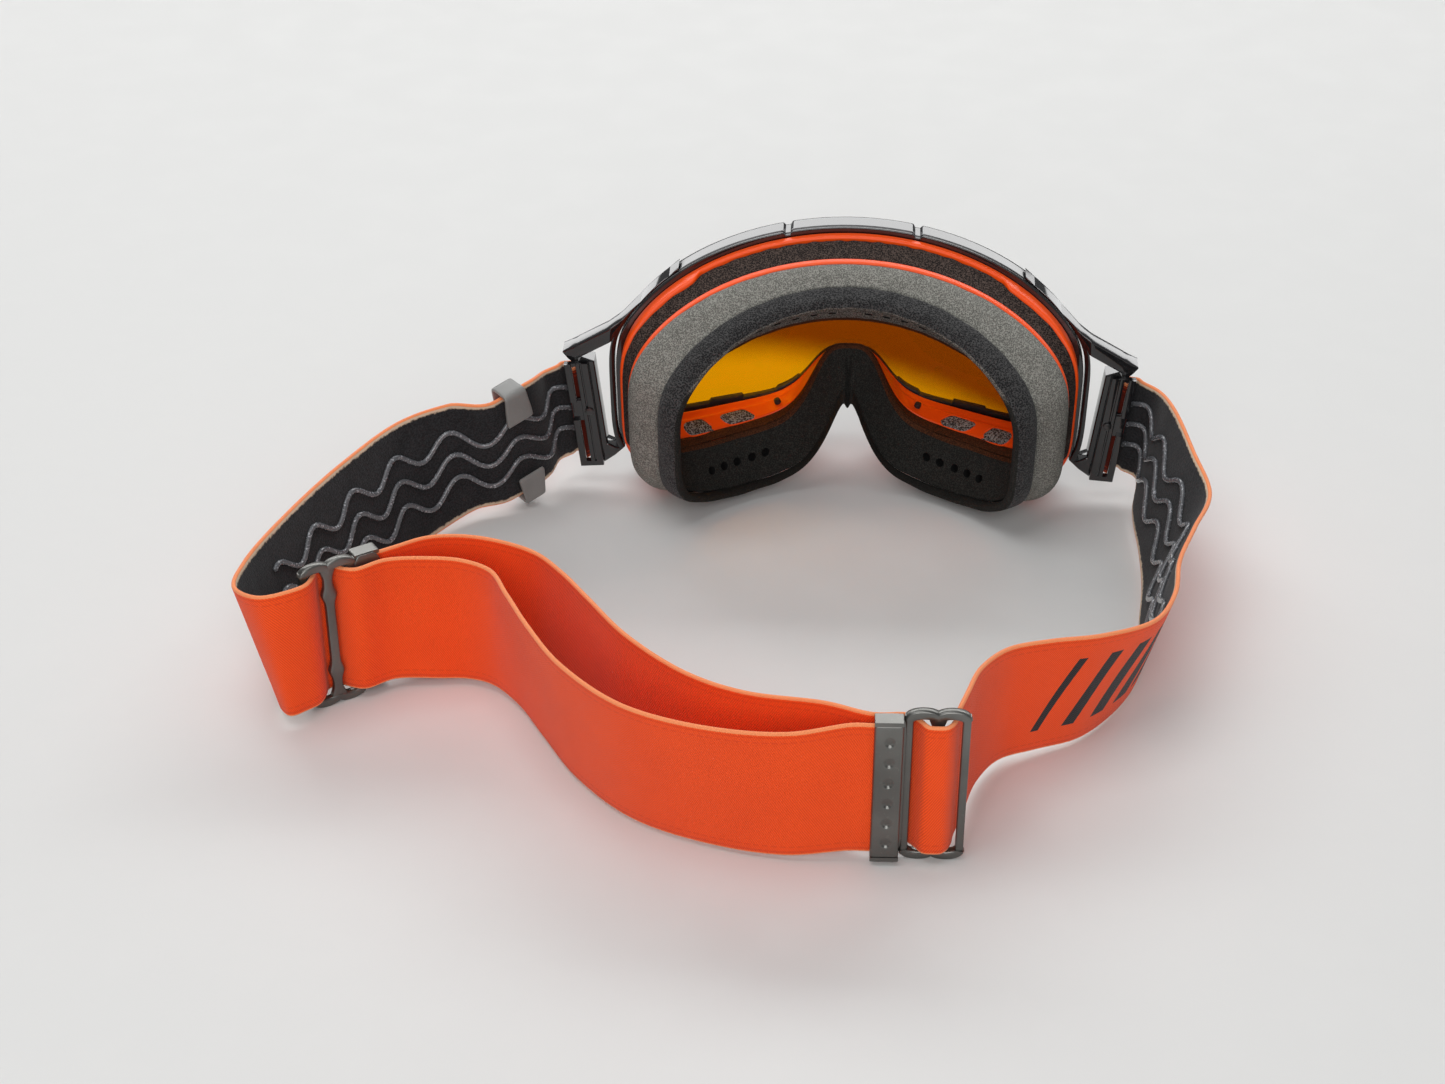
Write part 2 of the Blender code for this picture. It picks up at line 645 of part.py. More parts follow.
def mirror_x(shape, side):
    """Turn a right-hand shape into the left-hand one where side is -1."""
    if side < 0:
        bmesh.ops.scale(shape, vec=(-1.0, 1.0, 1.0), verts=shape.verts)


def swivel_y():
    """Depth of the outriggers' rear face at the pin, where the anchor plate lies."""
    return float(plate_depth(SWIVEL_X)) - OUTRIGGER_THICKNESS / 2 - CLEARANCE


def build_outriggers(shop):
    """The outriggers, the swivelling strap anchors on their posts, their pins and rods."""
    for side, hand in ((-1, "left"), (1, "right")):
        shape = flat_plate(outrigger_loops(), OUTRIGGER_THICKNESS)
        for vert in shape.verts:
            vert.co.y += float(plate_depth(vert.co.x))
        mirror_x(shape, side)
        shop.add(f"outrigger_{hand}", shape, "gloss_black", shop.goggles)

        swivel = shop.empty(f"strap_swivel_{hand}", shop.goggles)
        swivel.location = (side * SWIVEL_X, swivel_y(), SWIVEL_Z)
        swivel.rotation_euler = (0.0, side * POST_LEAN, 0.0)
        plate = flat_plate([anchor_outline(), circle(SWIVEL_PIN_RADIUS + SWIVEL_PIN_PLAY)],
                           ANCHOR_THICKNESS)
        bmesh.ops.translate(plate, vec=(0.0, -ANCHOR_THICKNESS / 2, 0.0), verts=plate.verts)
        mirror_x(plate, side)
        shop.add(f"strap_anchor_{hand}", plate, "gloss_black", swivel)

        upright = Matrix.Rotation(math.pi / 2, 4, "X")
        reach = OUTRIGGER_THICKNESS + CLEARANCE + ANCHOR_THICKNESS + SWIVEL_PIN_HEAD
        middle = reach / 2 - ANCHOR_THICKNESS - SWIVEL_PIN_HEAD
        pin = disc(SWIVEL_PIN_RADIUS, reach, Matrix.Translation((0.0, middle, 0.0)) @ upright)
        shop.add(f"anchor_pin_{hand}", pin, "steel_pin", swivel)
        rod_place = (side * FOLD_CENTRE, FOLD_DEPTH, -STRAP_DROP)
        rod = disc(STRAP_ROD_RADIUS, STRAP_END_WIDTH, Matrix.Translation(rod_place))
        shop.add(f"strap_rod_{hand}", rod, "steel_pin", swivel)


def anchor_outline():
    """The anchor plate's outline: a plate and a split outer bar that the strap end sits behind."""
    high = ANCHOR_HALF_HEIGHT - ANCHOR_DROP
    low = -ANCHOR_HALF_HEIGHT - ANCHOR_DROP
    gap = ANCHOR_LIP_GAP / 2
    web = ANCHOR_END_WEB
    return [
        (-ANCHOR_INNER, low), (ANCHOR_OUTER, low), (ANCHOR_OUTER, -gap),
        (ANCHOR_SLOT_END, -gap - web), (ANCHOR_SLOT_END, low + web),
        (ANCHOR_SLOT_START, low + web), (ANCHOR_SLOT_START, high - web),
        (ANCHOR_SLOT_END, high - web), (ANCHOR_SLOT_END, gap), (ANCHOR_OUTER, gap + web),
        (ANCHOR_OUTER, high), (-ANCHOR_INNER, high),
    ]


def smooth_path(stations):
    """Catmull-Rom samples of strap stations, each a middle point and half its edge to edge."""
    points = np.array([np.concatenate((middle, edge)) for middle, edge in stations])
    points = np.concatenate((2 * points[:1] - points[1:2], points, 2 * points[-1:] - points[-2:-1]))
    knots = np.concatenate(([0.0], np.cumsum(
        np.linalg.norm(np.diff(points[:, :3], axis=0), axis=1) ** 0.5)))
    samples = []
    for i in range(1, len(points) - 2):
        length = np.linalg.norm(points[i + 1, :3] - points[i, :3])
        count = max(2, math.ceil(length / STRAP_STEP))
        for t in np.linspace(knots[i], knots[i + 1], count, endpoint=False):
            samples.append(blend_knots(points[i - 1:i + 3], knots[i - 1:i + 3], t))
    samples.append(points[-2])
    samples = np.array(samples)
    return samples[:, :3], samples[:, 3:]


def blend_knots(points, knots, t):
    """One point of a centripetal Catmull-Rom segment through four points."""
    level = points
    for span in (1, 2):
        level = [
            ((knots[i + span] - t) * level[i] + (t - knots[i]) * level[i + 1])
            / (knots[i + span] - knots[i])
            for i in range(4 - span)
        ]
    low, high = level
    return ((knots[2] - t) * low + (t - knots[1]) * high) / (knots[2] - knots[1])


def floor_station(base, x, y, lean_x, lean_y, lift):
    """A strap station whose lower edge is lifted off the floor and whose top edge leans."""
    rise = math.sqrt(STRAP_WIDTH ** 2 - lean_x ** 2 - lean_y ** 2)
    return Vector((base.x + x, base.y + y, lift + rise / 2)), Vector((lean_x, lean_y, rise)) / 2


def adjuster_stations(centre, turn, places):
    """Upright strap stations at (along, across) places of an adjuster."""
    along = Vector((math.cos(turn), math.sin(turn), 0.0))
    across = Vector((-math.sin(turn), math.cos(turn), 0.0))
    middle = Vector((centre.x, centre.y, ADJUSTER_HALF_HEIGHT))
    half_edge = Vector((0.0, 0.0, STRAP_WIDTH / 2))
    return [(middle + along * s + across * m, half_edge) for s, m in places]


def anchor_stations(shop, side):
    """Strap stations of the sewn end: the fold round its rod, and the way out."""
    far = FOLD_DEPTH + FOLD_RADIUS
    out = ANCHOR_OUTER
    places = [(FOLD_CENTRE + STRAP_THICKNESS / 2, FOLD_DEPTH - FOLD_RADIUS)]
    for turn in (90, 135, 180, 225, 270):
        angle = math.radians(turn)
        places.append((
            FOLD_CENTRE + FOLD_RADIUS * math.cos(angle), FOLD_DEPTH - FOLD_RADIUS * math.sin(angle),
        ))
    places += [
        (FOLD_CENTRE + 6.0 * LAY_UNIT, far - 0.4 * LAY_UNIT),
        (out + 7.0 * LAY_UNIT, far - 3.6 * LAY_UNIT), (out + 17.0 * LAY_UNIT, far - 11.0 * LAY_UNIT),
    ]
    edge = shop.stand_point((side * math.sin(POST_LEAN), 0.0, math.cos(POST_LEAN)))
    half_edge = (edge - shop.stand_point((0.0, 0.0, 0.0))) * STRAP_END_WIDTH / 2
    stations = []
    for along, depth in places:
        x, z = post_point(along, -STRAP_DROP)
        stations.append((shop.stand_point((side * x, swivel_y() + depth, z)), half_edge))
    return stations


def strap_routes(shop):
    """The stations of both straps, from the sewn end to the end crimped in an adjuster."""
    pin = shop.stand_point((SWIVEL_X, swivel_y(), SWIVEL_Z))
    left = Vector((2 * GOGGLES_X - pin.x, pin.y))
    right = Vector((pin.x, pin.y))
    first = left + LEFT_ADJUSTER
    second = right + RIGHT_ADJUSTER
    weave_in = [(-28.0 * LAY_UNIT, -3.0 * LAY_UNIT), (-RAIL_PITCH, -WEAVE), (-RAIL_PITCH / 2, 0.0),
                (0.0, WEAVE), (RAIL_PITCH / 2, 0.0), (RAIL_PITCH, -WEAVE), (CLAMP_END, -WEAVE)]
    weave_out = [(-18.0 * LAY_UNIT, -29.0 * LAY_UNIT), (-12.0 * LAY_UNIT, -11.0 * LAY_UNIT)]
    weave_out += weave_in[2:]
    crimped = [(CLAMP_END + 12.0 * LAY_UNIT, CLAMP_SEAT), (CLAMP_END, CLAMP_SEAT),
               (RING_END + 2 * CLEARANCE, CLAMP_SEAT)]

    left_turn = [
        (-47.0, -31.0, -8.0, -18.0, 10.0), (-83.0, -48.0, -12.0, -8.0, 6.0),
        (-113.0, -74.0, -16.0, 10.0, 2.0), (-140.0, -126.0, -18.0, 6.0, 1.2),
        (-163.0, -192.0, -20.0, 6.0, 1.0), (-177.0, -254.0, -20.0, 4.0, 1.0),
        (-175.0, -284.0, -20.0, -2.0, 1.0), (-161.0, -297.0, -16.0, -4.0, 2.0),
    ]
    outer_run = [
        (59.0, 22.0, -2.0, 2.0, 5.0), (79.0, 23.0, 0.0, 0.0, 4.0),
        (97.0, 15.0, 2.0, -4.0, 4.0), (113.0, -6.0, -4.0, -8.0, 3.0),
        (131.0, -37.0, -6.0, -10.0, 2.0), (156.0, -77.0, -6.0, -10.0, 2.0),
        (194.0, -114.0, -4.0, -10.0, 2.0), (240.0, -133.0, -2.0, -8.0, 2.0),
        (286.0, -140.0, 0.0, -4.0, 3.0),
    ]
    right_turn = [
        (31.0, -30.0, 20.0, -4.0, 9.0), (36.0, -76.0, 28.0, -6.0, 5.0),
        (39.0, -116.0, 36.0, -10.0, 2.0), (29.0, -160.0, 26.0, -16.0, 1.2),
        (20.0, -202.0, 16.0, -18.0, 1.0), (14.0, -234.0, 16.0, -24.0, 1.0),
        (-1.0, -265.0, 16.0, -24.0, 1.0), (-30.0, -292.0, 8.0, -16.0, 1.6),
        (-59.0, -305.0, 4.0, -12.0, 3.0), (-83.0, -318.0, 2.0, -10.0, 4.4),
        (-99.0, -342.0, 0.0, -6.0, 5.6),
    ]
    inner_run = [
        (306.0, -114.0, 0.0, 0.0, 5.0), (260.0, -103.0, 0.0, -2.0, 3.0),
        (226.0, -85.0, 0.0, -2.0, 2.0), (188.0, -49.0, 0.0, -2.0, 2.0),
        (160.0, -9.0, 0.0, -2.0, 2.0), (142.0, 16.0, 0.0, 0.0, 2.0),
        (122.0, 38.0, 0.0, 0.0, 2.0), (96.0, 49.0, 0.0, 0.0, 3.0),
        (74.0, 51.4, 0.0, 0.0, 4.0), (54.0, 45.0, 0.0, 0.0, 6.0),
    ]

    def laid(base, rows):
        return [floor_station(base, *(LAY_UNIT * value for value in row)) for row in rows]

    first_weave = adjuster_stations(first, LEFT_ADJUSTER_TURN, weave_in)
    first_end = adjuster_stations(first, LEFT_ADJUSTER_TURN, crimped)
    second_weave = adjuster_stations(second, RIGHT_ADJUSTER_TURN, weave_out)
    second_end = adjuster_stations(second, RIGHT_ADJUSTER_TURN, crimped)
    left_route = (anchor_stations(shop, -1) + laid(left, left_turn) + first_weave
                  + laid(first, outer_run) + second_end)
    right_route = (anchor_stations(shop, 1) + laid(right, right_turn) + second_weave
                   + laid(first, inner_run) + first_end)
    return left_route, right_route, first, second


def build_straps(shop):
    """Both straps, the grip beads on their inner faces and the slider on the left one."""
    left_route, right_route, first, second = strap_routes(shop)
    for hand, route, inner in (("left", left_route, -1.0), ("right", right_route, 1.0)):
        middle, edge = smooth_path(route)
        shape = bmesh.new()
        low = [shape.verts.new(point) for point in middle - edge]
        high = [shape.verts.new(point) for point in middle + edge]
        for i in range(len(low) - 1):
            shape.faces.new((low[i], low[i + 1], high[i + 1], high[i]))
        strap = shop.add(f"strap_{hand}", shape, "orange_strap")
        thickness = strap.modifiers.new("thickness", "SOLIDIFY")
        thickness.thickness = STRAP_THICKNESS
        thickness.offset = 0.0
        thickness.use_even_offset = True
        anchored = len(anchor_stations(shop, 1)) - 1
        build_beads(shop, hand, route[anchored:], inner)
    build_slider(shop, left_route)
    build_adjusters(shop, (("left", first, LEFT_ADJUSTER_TURN),
                           ("right", second, RIGHT_ADJUSTER_TURN)))


def build_beads(shop, hand, route, inner):
    """Three wavy grip beads that follow a strap's inner face."""
    middle, edge = smooth_path(route)
    length = np.concatenate(([0.0], np.cumsum(np.linalg.norm(np.diff(middle, axis=0), axis=1))))
    count = round(BEAD_LENGTH / BEAD_WAVE * BEAD_POINTS_PER_WAVE)
    stops = BEAD_START + np.linspace(0.0, BEAD_LENGTH, count + 1)
    path = np.stack([np.interp(stops, length, middle[:, i]) for i in range(3)], axis=1)
    rise = np.stack([np.interp(stops, length, edge[:, i]) for i in range(3)], axis=1)
    rise /= np.linalg.norm(rise, axis=1, keepdims=True)
    out = np.cross(np.gradient(path, axis=0), rise)
    out /= np.linalg.norm(out, axis=1, keepdims=True)
    seat = STRAP_THICKNESS / 2 + BEAD_RADIUS + CLEARANCE
    swing = BEAD_SWING * np.sin(2 * math.pi * (stops - BEAD_START) / BEAD_WAVE)
    for row in (1, 2, 3):
        level = (2 - row) * BEAD_PITCH - BEAD_DROP
        points = path + rise * (level + swing)[:, None] + out * inner * seat
        curve = bpy.data.curves.new(f"grip_bead_{hand}_{row}", "CURVE")
        curve.dimensions = "3D"
        curve.bevel_depth = BEAD_RADIUS
        curve.bevel_resolution = 0
        curve.use_fill_caps = True
        spline = curve.splines.new("POLY")
        spline.points.add(len(points) - 1)
        for point, place in zip(spline.points, points):
            point.co = (*place, 1.0)
        bead = bpy.data.objects.new(curve.name, curve)
        curve.materials.append(shop.finishes["clear_silicone"])
        shop.parts.objects.link(bead)


def build_slider(shop, route):
    """The clip that keeps the strap flat: a plate outside, hooked over both strap edges."""
    station = len(anchor_stations(shop, -1))
    middle, half_edge = route[station]
    edge = half_edge.normalized()
    along = (route[station + 1][0] - route[station - 1][0]).normalized()
    along = (along - edge * along.dot(edge)).normalized()
    axes = Matrix((along, edge.cross(along), edge)).transposed().to_4x4()
    slider = shop.empty("slider_seat", None)
    slider.matrix_world = Matrix.Translation(middle) @ axes
    behind = STRAP_THICKNESS / 2 + SLIDER_ROOM
    room = behind + 2 * BEAD_RADIUS
    back = behind + SLIDER_WALL
    wall = room + SLIDER_WALL
    high = STRAP_WIDTH / 2 + 2 * CLEARANCE
    top = high + SLIDER_WALL
    profile = [
        (-back, -top), (wall, -top), (wall, -high + SLIDER_LOWER_HOOK),
        (room, -high + SLIDER_LOWER_HOOK), (room, -high), (-behind, -high), (-behind, high),
        (room, high), (room, high - SLIDER_TOP_HOOK), (wall, high - SLIDER_TOP_HOOK),
        (wall, top), (-back, top),
    ]
    shape = flat_plate([profile], SLIDER_LENGTH)
    bmesh.ops.transform(shape, matrix=Matrix.Rotation(math.pi / 2, 4, "Z"), verts=shape.verts)
    shop.add("strap_slider", shape, "grey_clip", slider)


def adjuster_outline():
    """The adjuster's outline: a ring whose top and bottom swell over each slot, and a clamp."""
    edge = []
    for slot in (-1, 1):
        middle = slot * RAIL_PITCH / 2
        for turn in range(0, 181, 30):
            angle = math.radians(180 - turn)
            edge.append((middle + RAIL_PITCH / 2 * math.cos(angle), RING_BUMP * math.sin(angle)))
    high = [(s, ADJUSTER_HALF_HEIGHT - RING_BUMP + bump) for s, bump in edge]
    top = [(-RING_END, ADJUSTER_HALF_HEIGHT - RING_BUMP)] + high
    top += [(CLAMP_END, ADJUSTER_HALF_HEIGHT - RING_BUMP)]
    return top + [(s, -z) for s, z in reversed(top)]


def build_adjusters(shop, places):
    """The two identical adjusters: a slotted ring with a clamp, and the crimp plate on it."""
    slots = []
    for slot in (-1, 1):
        near = slot * BAR_WIDTH / 2
        far = slot * (RAIL_PITCH - BAR_WIDTH / 2)
        slots.append([(near, -SLOT_HALF_HEIGHT), (far, -SLOT_HALF_HEIGHT),
                      (far, SLOT_HALF_HEIGHT), (near, SLOT_HALF_HEIGHT)])
    crimp_size = (CLAMP_LENGTH - 2 * CLEARANCE, CRIMP_THICKNESS, 2 * SLOT_HALF_HEIGHT)
    crimp_middle = (RING_END + CLAMP_LENGTH / 2, CRIMP_SEAT, 0.0)
    for hand, centre, turn in places:
        seat = shop.empty(f"adjuster_seat_{hand}", None)
        seat.location = (centre.x, centre.y, ADJUSTER_HALF_HEIGHT)
        seat.rotation_euler = (0.0, 0.0, turn)
        body = flat_plate([adjuster_outline()] + slots, ADJUSTER_THICKNESS)
        shop.add(f"adjuster_{hand}", body, "gunmetal", seat)
        crimp = box(crimp_size, Matrix.Translation(crimp_middle))
        shop.add(f"adjuster_crimp_{hand}", crimp, "gunmetal", seat)


def stand_on_floor(shop, pieces):
    """Cut flat whatever would reach below the floor."""
    deep = 0.05
    place = Matrix.Translation((GOGGLES_X, GOGGLES_Y, -deep / 2))
    floor = shop.add_cutter("floor_cut", box((4 * FRAME_HALF_WIDTH, 4 * WRAP_RADIUS, deep), place))
    for piece in pieces:
        shop.cut(piece, floor)


def main():
    """Build the goggles, then the strap loop."""
    shop = Workshop()
    outer = build_frames(shop)
    base, fleece = build_face_foam(shop)
    build_outriggers(shop)
    stand_on_floor(shop, (outer, base, fleece))
    build_straps(shop)


main()
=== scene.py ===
"""Motocross goggles with their strap loop: the visible pieces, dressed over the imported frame.

Shapes are numpy grids in metres in the part's own frame: +Z up, the lens looks along +Y and the
strap loop lies towards -Y. The mask is worked out upright in its own frame and leaned back.
"""
import logging
import math
from dataclasses import dataclass, field, replace
from enum import Enum

import bmesh
import bpy
import numpy as np
from numpy.typing import NDArray
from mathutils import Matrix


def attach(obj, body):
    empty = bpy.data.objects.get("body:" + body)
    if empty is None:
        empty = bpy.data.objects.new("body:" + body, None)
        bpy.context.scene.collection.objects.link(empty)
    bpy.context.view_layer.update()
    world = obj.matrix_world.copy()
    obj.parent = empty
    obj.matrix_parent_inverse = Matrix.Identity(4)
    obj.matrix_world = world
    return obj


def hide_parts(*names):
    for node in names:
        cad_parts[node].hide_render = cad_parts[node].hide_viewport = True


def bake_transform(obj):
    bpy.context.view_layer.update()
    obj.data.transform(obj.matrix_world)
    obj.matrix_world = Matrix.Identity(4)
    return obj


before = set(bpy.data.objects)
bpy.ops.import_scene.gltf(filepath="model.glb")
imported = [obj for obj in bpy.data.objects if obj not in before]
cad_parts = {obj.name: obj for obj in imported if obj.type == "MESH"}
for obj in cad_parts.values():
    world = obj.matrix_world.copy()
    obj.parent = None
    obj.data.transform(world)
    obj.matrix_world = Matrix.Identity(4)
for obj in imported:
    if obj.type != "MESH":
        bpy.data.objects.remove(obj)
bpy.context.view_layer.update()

Points = NDArray[np.float64]
Colour = tuple[float, float, float]
LOG = logging.getLogger("goggles")
ROOT = "goggles"
GAP = 0.0003


class Side(Enum):
    """The wearer-facing left and right hand of the picture, with the sign of X."""

    LEFT = -1
    RIGHT = 1

    @property
    def hand(self) -> str:
        """The hand as it stands in node and body names."""
        return self.name.lower()


class Graph:
    """Short hand for building a node tree."""

    def __init__(self, tree: bpy.types.NodeTree) -> None:
        """Keep the tree whose nodes are made.

        Args:
            tree: the material's or the group's node tree.
        """
        self.tree = tree

    def feed(self, socket: bpy.types.NodeSocket, value: object) -> None:
        """Link a socket to an input, or set the input's own value.

        Args:
            socket: the input to feed.
            value: another node's output, or a plain value.
        """
        if isinstance(value, bpy.types.NodeSocket):
            self.tree.links.new(value, socket)
        elif isinstance(value, tuple) and len(value) == 3 and socket.type == "RGBA":
            socket.default_value = (*value, 1.0)
        else:
            socket.default_value = value

    def node(self, kind: str, inputs: dict[object, object] | None = None, **settings: object
             ) -> bpy.types.Node:
        """Add a node.

        Args:
            kind: the node's type name.
            inputs: values or links by input name or number.
            settings: the node's own settings.

        Returns:
            The new node.
        """
        made = self.tree.nodes.new(kind)
        for name, value in settings.items():
            setattr(made, name, value)
        for name, value in (inputs or {}).items():
            self.feed(made.inputs[name], value)
        return made

    def math(self, operation: str, first: object, second: object = 0.0, third: object = 0.0
             ) -> bpy.types.NodeSocket:
        """One arithmetic step.

        Args:
            operation: the Math node's operation.
            first: the first value or link.
            second: the second value or link.
            third: the third value or link.

        Returns:
            The result's socket.
        """
        inputs = {0: first, 1: second, 2: third}
        return self.node("ShaderNodeMath", inputs, operation=operation).outputs[0]

    def step(self, value: object, low: float, high: float) -> bpy.types.NodeSocket:
        """A smooth step from 0 at low to 1 at high.

        Args:
            value: the value to read.
            low: where the step begins.
            high: where it ends.

        Returns:
            The step's socket.
        """
        inputs = {"Value": value, "From Min": low, "From Max": high}
        return self.node("ShaderNodeMapRange", inputs, interpolation_type="SMOOTHSTEP").outputs[0]

    def mix(self, share: object, first: object, second: object) -> bpy.types.NodeSocket:
        """A blend of two colours.

        Args:
            share: how much of the second colour shows.
            first: the colour at 0.
            second: the colour at 1.

        Returns:
            The blended colour's socket.
        """
        made = self.node("ShaderNodeMix", data_type="RGBA")
        for number, value in ((0, share), (6, first), (7, second)):
            self.feed(made.inputs[number], value)
        return made.outputs[2]

    def noise(self, place: object, scale: object, detail: float = 3.0) -> bpy.types.NodeSocket:
        """Soft noise between 0 and 1.

        Args:
            place: the coordinates.
            scale: cells to a metre.
            detail: how many finer layers are added.

        Returns:
            The noise's socket.
        """
        inputs = {"Vector": place, "Scale": scale, "Detail": detail}
        return self.node("ShaderNodeTexNoise", inputs).outputs["Fac"]

    def place(self) -> bpy.types.NodeSocket:
        """The piece's own Object coordinates."""
        return self.node("ShaderNodeTexCoord").outputs["Object"]

    def strip(self) -> tuple[bpy.types.NodeSocket, bpy.types.NodeSocket]:
        """The piece's UV map as metres along it and metres across it."""
        place = self.node("ShaderNodeUVMap", uv_map="UVMap").outputs[0]
        split = self.node("ShaderNodeSeparateXYZ", {0: place})
        return split.outputs[0], split.outputs[1]


def effect(name: str, inputs: dict[str, str], outputs: dict[str, str]) -> tuple[Graph, dict, dict]:
    """Start a node group with named sockets.

    Args:
        name: the group's name.
        inputs: socket types by input name.
        outputs: socket types by output name.

    Returns:
        The group's graph, its input sockets by name, and its output sockets by name.
    """
    tree = bpy.data.node_groups.new(name, "ShaderNodeTree")
    for way, sockets in (("INPUT", inputs), ("OUTPUT", outputs)):
        for label, kind in sockets.items():
            tree.interface.new_socket(label, in_out=way, socket_type="NodeSocket" + kind)
    graph = Graph(tree)
    entry = graph.node("NodeGroupInput")
    leave = graph.node("NodeGroupOutput")
    return graph, dict(entry.outputs.items()), dict(leave.inputs.items())


def foam_cells() -> bpy.types.NodeTree:
    """Open foam cells: dark pits between paler strands, from Voronoi cells broken up by noise.

    Returns:
        A group that gives the strands' share and their height.
    """
    if "foam_cells" in bpy.data.node_groups:
        return bpy.data.node_groups["foam_cells"]
    graph, given, result = effect(
        "foam_cells", {"Place": "Vector", "Cells": "Float"}, {"Strand": "Float", "Height": "Float"})
    pits = graph.node("ShaderNodeTexVoronoi", {"Vector": given["Place"], "Scale": given["Cells"]})
    grain = graph.noise(given["Place"], graph.math("MULTIPLY", given["Cells"], 1.9), 2.0)
    cloud = graph.noise(given["Place"], graph.math("MULTIPLY", given["Cells"], 0.12), 2.0)
    raised = graph.math("MULTIPLY_ADD", pits.outputs["Distance"], 0.75, graph.math("MULTIPLY", grain, 0.55))
    strand = graph.step(graph.math("MULTIPLY_ADD", cloud, 0.22, raised), 0.55, 1.02)
    graph.feed(result["Strand"], strand)
    graph.feed(result["Height"], raised)
    return graph.tree


def woven_ribs() -> bpy.types.NodeTree:
    """Webbing ribs: sine ridges across the strap, leaned a little, crossed by finer yarns.

    Returns:
        A group that gives the ribs' height and their light and dark.
    """
    if "woven_ribs" in bpy.data.node_groups:
        return bpy.data.node_groups["woven_ribs"]
    graph, given, result = effect(
        "woven_ribs", {"Along": "Float", "Across": "Float", "Pitch": "Float"},
        {"Height": "Float", "Shade": "Float"})
    leaned = graph.math("MULTIPLY_ADD", given["Across"], 0.60, given["Along"])
    turns = graph.math("MULTIPLY", graph.math("DIVIDE", leaned, given["Pitch"]), 2 * math.pi)
    rib = graph.math("MULTIPLY_ADD", graph.math("SINE", turns), 0.5, 0.5)
    yarn_turns = graph.math("DIVIDE", given["Across"], graph.math("MULTIPLY", given["Pitch"], 0.9))
    stagger = graph.math("MULTIPLY_ADD", yarn_turns, 2 * math.pi, graph.math("MULTIPLY", turns, 0.5))
    yarn = graph.math("MULTIPLY_ADD", graph.math("SINE", stagger), 0.5, 0.5)
    height = graph.math("MULTIPLY_ADD", yarn, 0.45, rib)
    graph.feed(result["Height"], height)
    graph.feed(result["Shade"], graph.step(height, 0.0, 1.3))
    return graph.tree


def handling_wear() -> bpy.types.NodeTree:
    """Handling wear: slow patches of dulling with sparse fine specks, from noise at two sizes.

    Returns:
        A group that gives the dulled share and a fine grain height.
    """
    if "handling_wear" in bpy.data.node_groups:
        return bpy.data.node_groups["handling_wear"]
    graph, given, result = effect(
        "handling_wear", {"Place": "Vector", "Grain": "Float"}, {"Dull": "Float", "Height": "Float"})
    patch = graph.noise(given["Place"], 38.0, 4.0)
    speck = graph.step(graph.noise(given["Place"], 900.0, 1.0), 0.66, 0.74)
    dull = graph.math("MULTIPLY_ADD", speck, 0.35, graph.step(patch, 0.38, 0.72))
    graph.feed(result["Dull"], dull)
    graph.feed(result["Height"], graph.noise(given["Place"], given["Grain"], 2.0))
    return graph.tree


@dataclass(frozen=True)
class Finish:
    """A finish: one material made on first use, from a name, a colour and a roughness."""

    name: str
    colour: Colour
    roughness: float

    def material(self) -> bpy.types.Material:
        """The finish's material, made once.

        Returns:
            The material.
        """
        made = bpy.data.materials.get("look_" + self.name)
        if made is None:
            made = bpy.data.materials.new("look_" + self.name)
            made.use_nodes = True
            graph = Graph(made.node_tree)
            self.dress(graph, made.node_tree.nodes["Principled BSDF"])
        return made

    def dress(self, graph: Graph, shader: bpy.types.Node) -> None:
        """Feed the shader.

        Args:
            graph: the material's graph.
            shader: its Principled shader.
        """
        raise NotImplementedError

    def bump(self, graph: Graph, shader: bpy.types.Node, height: object, depth: float,
             strength: float) -> None:
        """Raise the surface by a height.

        Args:
            graph: the material's graph.
            shader: its Principled shader.
            height: the height's socket.
            depth: how far a height of 1 stands, in metres.
            strength: how much of it shows.
        """
        made = graph.node("ShaderNodeBump", {"Height": height, "Distance": depth, "Strength": strength})
        graph.feed(shader.inputs["Normal"], made.outputs[0])


@dataclass(frozen=True)
class Moulded(Finish):
    """Moulded plastic or metal with a fine grain and patches dulled by handling."""

    grain: float = 1400.0
    depth: float = 0.00003
    dulled: float = 0.14
    metallic: float = 0.0
    pale: float = 0.12
    specular: float = 0.5

    def dress(self, graph: Graph, shader: bpy.types.Node) -> None:
        """See Finish.dress."""
        wear = graph.node("ShaderNodeGroup", node_tree=handling_wear())
        graph.feed(wear.inputs["Place"], graph.place())
        wear.inputs["Grain"].default_value = self.grain
        worn_and_brow_tone = tuple(min(1.0, part * (1.0 + self.pale) + 0.012 * self.pale) for part in self.colour)
        graph.feed(shader.inputs["Base Color"], graph.mix(wear.outputs["Dull"], self.colour, worn_and_brow_tone))
        rough = graph.math("MULTIPLY_ADD", wear.outputs["Dull"], self.dulled, self.roughness)
        graph.feed(shader.inputs["Roughness"], rough)
        shader.inputs["Metallic"].default_value = self.metallic
        shader.inputs["Specular IOR Level"].default_value = self.specular
        self.bump(graph, shader, wear.outputs["Height"], self.depth, 0.5)


